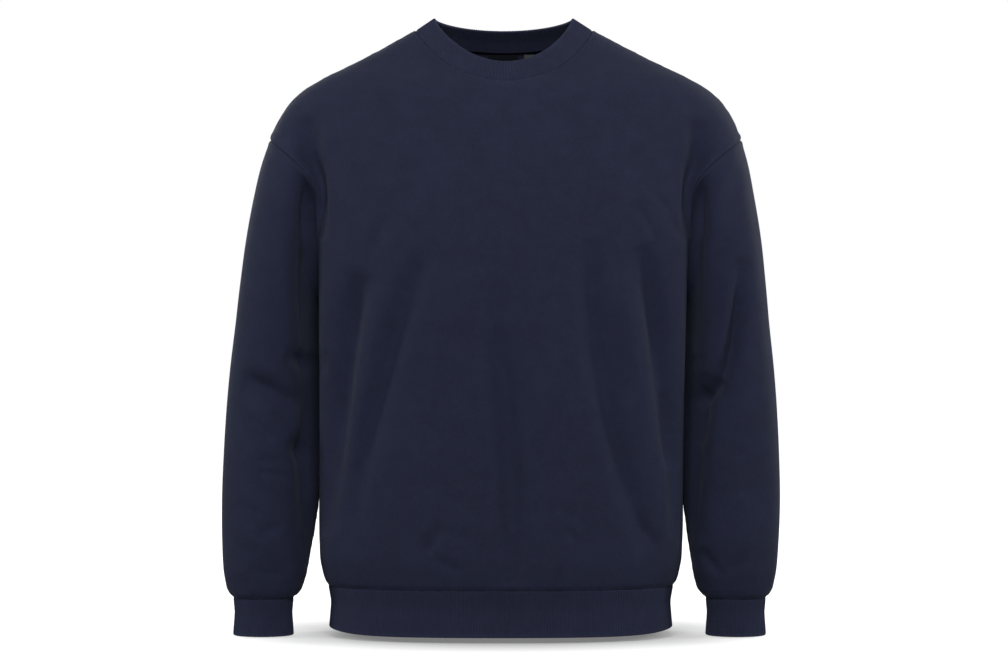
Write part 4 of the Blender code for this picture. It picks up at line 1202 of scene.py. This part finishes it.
# Paler where the attribute says: real wear along seams and edges, and painted highlight on high folds and rib
# tops
wear_and_highlight = number(dyed, "MULTIPLY", given["Wear_and_painted_highlight"], number(dyed, "MULTIPLY_ADD", fine, 0.8, 0.3))
shade_colour = dyed.nodes.new("ShaderNodeVectorMath")
shade_colour.operation = "SCALE"
dyed.links.new(given["Dye"], shade_colour.inputs[0])
dyed.links.new(number(dyed, "MULTIPLY_ADD", wear_and_highlight, 0.9, shade), shade_colour.inputs["Scale"])
dyed.links.new(shade_colour.outputs[0], result["Color"])
dyed.links.new(number(dyed, "MULTIPLY_ADD", broad, 0.10, number(dyed, "MULTIPLY_ADD", wear_and_highlight, -0.10, 0.84)),
               result["Roughness"])
print("group:", dyed.name)

# %% Node group: woven tape
tape, given, result = new_group(
    "woven_tape",
    [("Place", "NodeSocketVector", None), ("Thread", "NodeSocketFloat", 0.00045)],
    [("Height", "NodeSocketFloat"), ("Painted_gap_shade", "NodeSocketFloat")])
split = tape.nodes.new("ShaderNodeSeparateXYZ")
tape.links.new(given["Place"], split.inputs[0])
warp, weft = (number(tape, "SINE", number(tape, "DIVIDE", number(tape, "MULTIPLY", along_it, math.pi),
                                          given["Thread"])) for along_it in split.outputs[:2])
crossing = number(tape, "MULTIPLY", warp, weft)
tape.links.new(number(tape, "MULTIPLY_ADD", crossing, 0.5, 0.5), result["Height"])
tape.links.new(number(tape, "MULTIPLY_ADD", crossing, -0.5, 0.5), result["Painted_gap_shade"])
print("group:", tape.name)

# %% [markdown]
# ### Fleece and rib
#
# Both are the same dyed cotton, so both use the same three groups. They differ in the size of the loops
# and a little in colour. The sheen is the faint pale bloom that tiny fibres give a cloth where it turns
# away. It is the same all over, so it is set on the shader itself. The woven label shares the dye and
# the bump, and has a weave of its own.

# %% What every cloth material shares


def cloth_material(name):
    """A new material, its tree, its shader, and two vectors: place in the flat cloth and in space."""
    made = bpy.data.materials.new(name)
    made.use_nodes = True
    tree = made.node_tree
    flat = tree.nodes.new("ShaderNodeUVMap")
    flat.uv_map = "cloth"
    place = tree.nodes.new("ShaderNodeTexCoord").outputs["Object"]
    return made, tree, tree.nodes["Principled BSDF"], flat.outputs[0], place


def dye_and_bump(tree, shader, dye_values, height, distance, strength):
    """Dyes a cloth and gives it its relief."""
    dyed_node = placed(tree, dyed, dye_values)
    tree.links.new(dyed_node.outputs["Color"], shader.inputs["Base Color"])
    tree.links.new(dyed_node.outputs["Roughness"], shader.inputs["Roughness"])
    bump = tree.nodes.new("ShaderNodeBump")
    bump.inputs["Distance"].default_value = distance
    bump.inputs["Strength"].default_value = strength
    tree.links.new(height, bump.inputs["Height"])
    tree.links.new(bump.outputs[0], shader.inputs["Normal"])


print("node groups to build cloth from:", [group.name for group in bpy.data.node_groups])

# %% Material for knitted cloth
KNIT_RELIEF = 0.00022
MOTTLE = 0.30
# How much painted shade the gaps between the loops get
PAINTED_GAP_SHADE = 0.30


def knitted_cloth(name, dye, inside_dye, wale, course):
    """Knit on the outside of a piece and pile on its inside."""
    made, tree, shader, flat, place = cloth_material(name)
    inside = mask(tree, "inside")
    knit = placed(tree, jersey, {"Place": flat, "Wale": wale, "Course": course})
    brushed = placed(tree, pile, {"Place": flat})
    outside_height = number(tree, "MULTIPLY", knit.outputs["Height"], number(tree, "SUBTRACT", 1.0, inside))
    all_height = number(tree, "MULTIPLY_ADD", brushed.outputs["Height"], inside, outside_height)
    fuzz = number(tree, "MULTIPLY_ADD", noise(tree, place, 900.0, 2.0), 0.35, all_height)
    dye_values = {"Place": place, "Mottle": MOTTLE, "Depth": PAINTED_GAP_SHADE, "Painted_gap_shade": knit.outputs["Painted_gap_shade"],
                  "Wear_and_painted_highlight": mask(tree, "wear_and_painted_highlight"), "Dye": mixed(tree, inside, (*dye, 1.0), (*inside_dye, 1.0))}
    dye_and_bump(tree, shader, dye_values, fuzz, KNIT_RELIEF, 0.6)
    shader.inputs["Specular IOR Level"].default_value = 0.12
    shader.inputs["Sheen Weight"].default_value = 0.05
    shader.inputs["Sheen Roughness"].default_value = 0.45
    shader.inputs["Sheen Tint"].default_value = (0.62, 0.68, 0.86, 1.0)
    return made


fleece_cloth = knitted_cloth("navy_fleece_cloth", (0.0167, 0.0199, 0.0430), (0.0160, 0.0186, 0.0372),
                             0.00105, 0.00080)
rib_cloth = knitted_cloth("navy_rib_cloth", (0.0176, 0.0206, 0.0440), (0.0165, 0.0192, 0.0390),
                          0.00150, 0.00095)
print("materials:", fleece_cloth.name, rib_cloth.name)

# %% Material for the woven label and tab


def woven_cloth(name, dye, thread):
    """Thin tape, the same on both faces."""
    made, tree, shader, flat, place = cloth_material(name)
    weave = placed(tree, tape, {"Place": flat, "Thread": thread})
    # The gaps of the weave get painted shade in the dye
    dye_values = {"Place": place, "Dye": (*dye, 1.0), "Painted_gap_shade": weave.outputs["Painted_gap_shade"]}
    dye_and_bump(tree, shader, dye_values, weave.outputs["Height"], 0.0001, 0.5)
    shader.inputs["Specular IOR Level"].default_value = 0.25
    return made


label_cloth = woven_cloth("black_woven_label", (0.0030, 0.0040, 0.0075), 0.00035)
tab_cloth = woven_cloth("grey_woven_tab", (0.0950, 0.1080, 0.1000), 0.00040)
print("materials:", label_cloth.name, tab_cloth.name)

# %% [markdown]
# ## Front and back
#
# The two body panels are cut alike, except that the front neck is scooped lower. They carry the long
# folds that run down from the underarms, and their seams dip all round. Folds fade out beside a seam,
# because a seam holds the cloth down.

# %% The way out of the cloth at the neck seam
NECK_PLACES = 360


def band_frame(seam, angle):
    """The neckband's rise from its seam, and the way out of its face."""
    edge = neck_ring(angle, **NECK_EDGE)
    rise = edge - seam
    out = np.cross(np.roll(edge, -1, axis=0) - np.roll(edge, 1, axis=0), rise)
    out /= np.linalg.norm(out, axis=1, keepdims=True)
    return rise, -out if (out[0] * seam[0]).sum() < 0 else out


def neck_frame(count):
    """For count angles: the angles, the seam, the rise from it, the band's way out, and the way out
    that band and body share at the seam."""
    angle = -math.pi / 2 + np.arange(count) / count * 2 * math.pi
    seam = settle(off_form, neck_ring(angle, **NECK_SEAM))
    rise, out = band_frame(seam, angle)
    shared = outward(off_form, seam)[0] + out
    return angle, seam, rise, out, shared / np.linalg.norm(shared, axis=1, keepdims=True)


def turned_to(angle, known, ways):
    """Directions at other angles, from those known round the whole neck."""
    known = np.append(known, known[0] + 2 * math.pi)
    ways = np.concatenate([ways, ways[:1]])
    angle = (np.asarray(angle) - known[0]) % (2 * math.pi) + known[0]
    found = np.stack([np.interp(angle, known, ways[:, k]) for k in range(3)], axis=-1)
    return found / np.linalg.norm(found, axis=-1, keepdims=True)


known_angle, known_seam, _, _, known_way = neck_frame(NECK_PLACES)
print("neck seam length", round(float(np.linalg.norm(np.diff(known_seam, axis=0), axis=1).sum()), 3))

# %% Make the front and back


def set_wear_and_highlight(piece, values):
    """Keeps how much paler each point of a piece is, by wear and by painted highlight."""
    layer = piece.data.attributes.new("wear_and_painted_highlight", "FLOAT", "POINT")
    layer.data.foreach_set("value", np.ascontiguousarray(values, dtype=np.float32))


def wear_and_highlight_fleece(piece, relief, lines):
    """Makes the outer skin paler: a painted highlight on its high folds, and wear along lines, given as
    (gap, amount, distance from the seam, width)."""
    # Painted highlight on the high folds, then real wear along the lines
    wear_and_highlight_amount = np.clip(relief / HIGH_FOLD, 0, 1) * FOLD_PAINTED_HIGHLIGHT
    for gap, amount, distance, width in lines:
        wear_and_highlight_amount = wear_and_highlight_amount + amount * np.exp(-((gap - distance) / width) ** 2)
    set_wear_and_highlight(piece, np.concatenate([wear_and_highlight_amount.ravel(), np.zeros(wear_and_highlight_amount.size)]))


def skins(grid, way, relief, moves):
    """Outer and inner skin of a fleece piece."""
    return [leaning(grid + way * height[..., None] + moves) for height in (relief, relief - FLEECE)]


# The four borders of a grid are its first and last row, then its first and last column. For a body
# panel that is neck and shoulders, hem, left side and right side. Beside each are the next points.
BORDERS = [(np.s_[0], np.s_[1]), (np.s_[-1], np.s_[-2]), (np.s_[:, 0], np.s_[:, 1]),
           (np.s_[:, -1], np.s_[:, -2])]
GROOVES = (0.0007, 0.0003, 0.0007, 0.0007)      # how deep the seam at each border is
ROLLS = (0.0, 0.0008, 0.0, 0.0)                 # how far the cloth swells beside it
LAPPED = (0.0, 0.0, 0.0009, 0.0009)             # how much higher the body stands over the sleeve
LAP = 0.007                                     # and how wide that step is
HIGH_FOLD, FOLD_PAINTED_HIGHLIGHT = 0.004, 0.10              # a fold this high is made this much paler, a painted highlight


def body_panel(name, seed):
    """The front or back. Its inner skin is given back as well, for the label to lie on."""
    grid, rows, columns = body[name]
    way = outward(off_body, grid)[0]
    at_neck = (columns >= SHOULDER_COLUMNS) & (columns <= last_column)
    way[0, at_neck] = turned_to(neck_angle(name, columns[at_neck]), known_angle, known_way)
    right, down = lengths_along(grid, 1), lengths_along(grid, 0)
    gaps = [away_from(grid, line) for line in (grid[:1], grid[-1:], grid[:, :1], grid[:, -1:])]
    places = [right[:1], right[-1:], down[:, :1], down[:, -1:]]
    relief = held_down(fold_relief(grid, way, FOLDS, CREASES), gaps)
    above_underarm = np.clip(ARMHOLE_ROWS - rows, 0, 1)[:, None]
    for k, (gap, distance) in enumerate(zip(gaps, places)):
        relief += seam_relief(gap, np.broadcast_to(distance, gap.shape), seed + k, groove=GROOVES[k],
                              roll=ROLLS[k])
        relief += LAPPED[k] * np.exp(-(gap / LAP) ** 2) * above_underarm
    outer, inner = skins(grid, way, relief, seam_moves(grid, way, BORDERS))
    middle = int(np.interp(ACROSS / 2, columns, np.arange(len(columns))))
    piece = wall(name + "_panel", outer, inner, right - right[:, [middle]], down[-1:] - down, fleece_cloth)
    wear_and_highlight_fleece(piece, relief, [(gaps[0], 0.10, 0.005, 0.004), (gaps[1], 0.08, 0.005, 0.005)])
    return piece, inner


panels = {}
panels["front"], _ = body_panel("front", 11)
panels["back"], back_inner = body_panel("back", 31)
for name, piece in panels.items():
    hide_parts(name)
    print(piece.name, len(piece.data.polygons), "faces")

# %% [markdown]
# ## Sleeves
#
# A sleeve is one piece of cloth sewn into a tube along the underarm. It hangs from the dropped armhole
# seam, is squeezed into wrinkles inside the elbow and swells over its tight cuff. Left and right are
# made from the same grid, but each gets its own folds, as the arms of a worn garment never match.

# %% Make the sleeves
SUNK = 0.0006           # how far the sleeve goes under the body at the armhole
SUNK_REACH = 0.003


def sleeve_piece(name, turn, seed):
    """A sleeve, from the common grid turned to its own side. Its end is given back for the cuff."""
    grid = turn(sleeve)
    way = outward(off_sleeve, grid)[0]
    right = lengths_along(np.concatenate([grid, grid[:, :1]], axis=1), 1)
    down = lengths_along(grid, 0)
    top, bottom, under = (away_from(grid, line) for line in (grid[:1], grid[-1:], grid[:, :1]))
    relief = held_down(fold_relief(grid, way, FOLDS, INNER_FOLDS, CREASES), (top, bottom, under))
    relief += seam_relief(top, np.broadcast_to(right[:1, :-1], top.shape), seed, welt=0.0006)
    relief -= SUNK * np.exp(-(top / SUNK_REACH) ** 2)
    relief += seam_relief(bottom, np.broadcast_to(right[-1:, :-1], top.shape), seed + 1, groove=0.0003,
                          pucker=0.0006, roll=0.0008)
    relief += seam_relief(under, np.broadcast_to(down[:, :1], top.shape), seed + 2)
    outer, inner = skins(grid, way, relief, seam_moves(grid, way, BORDERS[:2], closed=True))
    flat_y = np.concatenate([down, down[:, :1]], axis=1)
    piece = wall(name + "_tube", outer, inner, right, flat_y[-1:] - flat_y, fleece_cloth, closed=True)
    wear_and_highlight_fleece(piece, relief, [(bottom, 0.12, 0.006, 0.006)])
    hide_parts(name)
    return piece, grid[-1]


sleeves = {}
wrists = {}
for name, turn, seed in (("sleeve_left", swung, 51), ("sleeve_right", mirrored, 71)):
    sleeves[name], wrists[name] = sleeve_piece(name, turn, seed)
    print(sleeves[name].name, len(sleeves[name].data.polygons), "faces")

# %% [markdown]
# ## Ribbed bands
#
# Neckband, hem and cuffs are a rib knit folded in two: upright ribs with narrow grooves between, on both
# faces, running round the folded edge. The ribs are real shape, since they show in the outline of the
# edge. One function makes all four bands: it walks down the outer face, round the fold and up the inner
# face, and at each step sinks the grooves in by a rounded wave. Between its seam and its fold a band
# may bulge out or be drawn in, which its own short list says.

# %% Parts of a band
POINTS_PER_RIB = 8
BESIDE_SEAM = [0.0, 0.0005, 0.0012, 0.0022, 0.0036, 0.0056]     # the first steps down a band
NEXT_STEP = 0.0085
OUTER_STEPS, FOLD_STEPS, INNER_STEPS = 8, 8, 7
TURNED_WITHIN = 0.35            # share of the way in which the face turns from root to out
SEAM_SINK, SEAM_SINK_WIDTH = 0.0008, 0.0016
INNER_RIBS = 0.75               # the ribs are shallower round the fold and inside
# The folded edge of a band is paler by wear; the tops of its ribs are made paler as a painted highlight
EDGE_WEAR, EDGE_WEAR_WIDTH, RIB_TOP_PAINTED_HIGHLIGHT = 0.35, 0.003, 0.10
HEM_RIBS, CUFF_RIBS, NECK_RIBS = (348), 72, 176


def folded_path(length):
    """Steps down the outer face, round the fold and up the inner face: how far along, how far in,
    and how far turned."""
    radius = RIB_WALL / 2
    turn = np.linspace(0.0, math.pi, FOLD_STEPS + 1)
    outer = np.concatenate([BESIDE_SEAM, np.linspace(NEXT_STEP, length - radius, OUTER_STEPS + 1)[:-1]])
    inner = np.linspace(length - radius, 0.0, INNER_STEPS + 1)[1:]
    steps = np.concatenate([outer, length - radius + radius * np.sin(turn), inner])
    depth = np.concatenate([np.zeros(len(outer)), radius - radius * np.cos(turn),
                            np.full(len(inner), 2 * radius)])
    facing = np.concatenate([np.zeros(len(outer)), turn, np.full(len(inner), math.pi)])
    return steps, depth, facing


def bulge_at(bulges, share):
    """How far out the face is, from rows of (share of the way, amount)."""
    place = np.interp(share, [row[0] for row in bulges], np.arange(len(bulges)))
    low = min(int(place), len(bulges) - 2)
    part = place - low
    return np.asarray(bulges[low][1]) * (1 - part) + np.asarray(bulges[low + 1][1]) * part


def turned_mix(a, b, share):
    """A direction that turns smoothly from a to b."""
    share = share * share * (3 - 2 * share)
    way = a * (1 - share) + b * share
    return way / np.linalg.norm(way, axis=1, keepdims=True)


def ring_places(line, ribs):
    """Points round a closed line, a whole number to each rib."""
    return along(np.concatenate([line, line[:1]]), np.arange(ribs * POINTS_PER_RIB) / (ribs * POINTS_PER_RIB))


def ring_sides(ring):
    """Outward level direction at each point of a ring, from its neighbours."""
    run = np.roll(ring, -1, axis=0) - np.roll(ring, 1, axis=0)
    way = np.stack([run[:, 1], -run[:, 0], np.zeros(len(ring))], axis=1)
    way /= np.linalg.norm(way, axis=1, keepdims=True)
    return way * np.sign(((ring - ring.mean(axis=0)) * way).sum(axis=1).mean())


print("steps down, round and up a band:", len(folded_path(0.05)[0]))

# %% One function for every band


def band(name, node, seam, run, out, ribs, bulges, root=None, relief=0.00050):
    """A folded ribbed band. seam is a closed ring, run the way from it to the fold with its length,
    out the way out of the face, and root, if given, the way out at the seam itself. An amount in
    bulges may be one number or one for each point of the ring."""
    count = len(seam)
    length = np.linalg.norm(run, axis=1)
    mean = float(length.mean())
    steps, depth, facing = folded_path(mean)
    groove = 1 - (0.5 - 0.5 * np.cos(np.arange(count) / count * ribs * 2 * math.pi)) ** 1.4
    distance = np.concatenate([[0.0], np.cumsum(np.linalg.norm(np.diff(seam, axis=0), axis=1))])
    way_down = run / length[:, None]
    rows = []
    for step, inward, angle in zip(steps, depth, facing):
        share = step / mean
        outside = angle < 0.1
        face = out if root is None else turned_mix(root, out, min(share / TURNED_WITHIN, 1.0))
        normal = face * math.cos(angle) + way_down * math.sin(angle)
        out_by = np.broadcast_to(bulge_at(bulges, share) - inward, count)[:, None]
        place = seam + run * share + face * out_by
        place = place - normal * (relief * groove * (1.0 if outside else INNER_RIBS))[:, None]
        if outside:
            near_seam = math.exp(-(step / SEAM_SINK_WIDTH) ** 2)
            place = place - face * (SEAM_SINK * near_seam * (1 + 0.3 * waver(distance, 7)))[:, None]
        rows.append(place)
    tall = len(rows)
    number_of = np.arange(tall * count).reshape(tall, count)
    faces = np.concatenate([quads(tall, count, closed=True), rim(number_of[-1], number_of[0], closed=True)])
    across = np.append(distance, distance[-1] + distance[1])
    travelled = np.concatenate([[0.0], np.cumsum(np.hypot(np.diff(steps), np.diff(depth)))])
    flat = np.stack(np.broadcast_arrays(across[None], travelled[:, None]), axis=-1).reshape(-1, 2)
    last = np.arange(tall * (count + 1)).reshape(tall, count + 1)[-1]
    flat = flat[np.concatenate([quads(tall, count + 1), rim(last, last)])]
    points = leaning(np.array(rows)).reshape(-1, 3)
    piece = mesh_piece(name, points, faces, flat, np.zeros(tall * count), rib_cloth)
    # Wear at the folded edge, and painted highlight on the tops of the ribs
    at_edge = np.exp(-((steps - mean) / EDGE_WEAR_WIDTH) ** 2)
    set_wear_and_highlight(piece, (at_edge[:, None] * EDGE_WEAR + (1 - groove)[None] * RIB_TOP_PAINTED_HIGHLIGHT).ravel())
    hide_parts(node)
    print(piece.name, len(piece.data.polygons), "faces,", ribs, "ribs")
    return piece


def straight_down(ring, end):
    """The way from each point of a ring straight down to a height."""
    way = np.zeros_like(ring)
    way[:, 2] = end - ring[:, 2]
    return way


print("ribs per metre of hem:", round(HEM_RIBS / 1.08))

# %% The hem band
HEM_LINE_POINTS = 400
hem_front, hem_back = (hem_line(name, np.linspace(0, 1, HEM_LINE_POINTS)) for name in ("front", "back"))
hem_ring = ring_places(np.concatenate([hem_front[:-1], hem_back[:0:-1]]), HEM_RIBS)
hem_ring[:, 2] -= SEAM_GAP / 2
at_sides = (np.abs(hem_ring[:, 0]) / np.abs(hem_ring[:, 0]).max()) ** 8
hem_band = band("hem_rib", "hem_band", hem_ring, straight_down(hem_ring, HEM_END + HEM_RISE * at_sides),
                ring_sides(hem_ring), HEM_RIBS, [(0.0, 0.0), (0.40, -0.0034), (1.0, -0.0010)])

# %% The cuffs
for side in ("left", "right"):
    wrist = ring_places(wrists["sleeve_" + side], CUFF_RIBS)
    wrist[:, 2] = CUFF_SEAM - SEAM_GAP / 2
    band("cuff_rib_" + side, "cuff_" + side, wrist, straight_down(wrist, CUFF_END),
                       ring_sides(wrist), CUFF_RIBS, [(0.0, 0.0), (0.4, -0.0016), (1.0, 0.0002)])

# %% The neckband
angle, neck_line, neck_rise, neck_out, neck_root = neck_frame(NECK_RIBS * POINTS_PER_RIB)
up = neck_rise / np.linalg.norm(neck_rise, axis=1, keepdims=True)
fuller = np.abs(np.cos(angle))      # it bulges at the sides of the neck
neckband = band("neck_rib", "neckband", neck_line + up * SEAM_GAP / 2, neck_rise, neck_out, NECK_RIBS,
                [(0.0, 0.0 * fuller), (0.42, 0.0024 * fuller), (0.90, 0.0010 * fuller),
                 (1.0, 0.0002 * fuller)], root=neck_root, relief=0.00055)

# %% [markdown]
# ## Label and size tab
#
# A small woven label hangs inside the back neck, sewn under the neckband, with a smaller tab beside it.
# Both are left blank. Each is a thin closed wall laid on the inner face of the back panel, found by
# casting rays at it, and its free lower edge stands off the cloth a little.

# %% Label and tab
LABEL_WALL = 0.0007
LABEL_ROWS, LABEL_COLUMNS = 16, 21
LABEL_GAP = 0.0004          # space behind a label at its sewn top
LABEL_LIFT = 0.0012         # how much further its free edge stands off
cloth_behind = BVHTree.FromPolygons([Vector(p) for p in back_inner.reshape(-1, 3)],
                                    quads(*back_inner.shape[:2]).tolist())


def sewn_label(name, node, middle, half, top, bottom, made):
    """A blank label on the inner face of the back; the sizes are across and up, in metres."""
    heights = np.linspace(top, bottom, LABEL_ROWS)
    columns = np.linspace(middle - half, middle + half, LABEL_COLUMNS)
    face = np.empty((LABEL_ROWS, LABEL_COLUMNS, 3))
    away = np.empty_like(face)
    for i, z in enumerate(heights):
        for j, x in enumerate(columns):
            face[i, j], normal, _, _ = cloth_behind.ray_cast(Vector((x, 0.0, z)), Vector((0.0, 1.0, 0.0)))
            away[i, j] = normal if normal.y < 0 else -normal
    lift = np.linspace(0.0, 1.0, LABEL_ROWS) ** 2 * LABEL_LIFT
    face += away * (LABEL_GAP + lift)[:, None, None]
    across, down = np.meshgrid(columns - columns[0], heights[0] - heights)
    piece = wall(name, face + away * LABEL_WALL, face, across, -down, made)
    set_wear_and_highlight(piece, np.zeros(len(piece.data.vertices)))
    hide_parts(node)
    print(piece.name, len(piece.data.polygons), "faces")
    return piece


label = sewn_label("blank_label", "neck_label", 0.0018, 0.0175, -0.0200, -0.0440, label_cloth)
tab = sewn_label("blank_tab", "size_tab", 0.0335, 0.0060, -0.0200, -0.0330, tab_cloth)
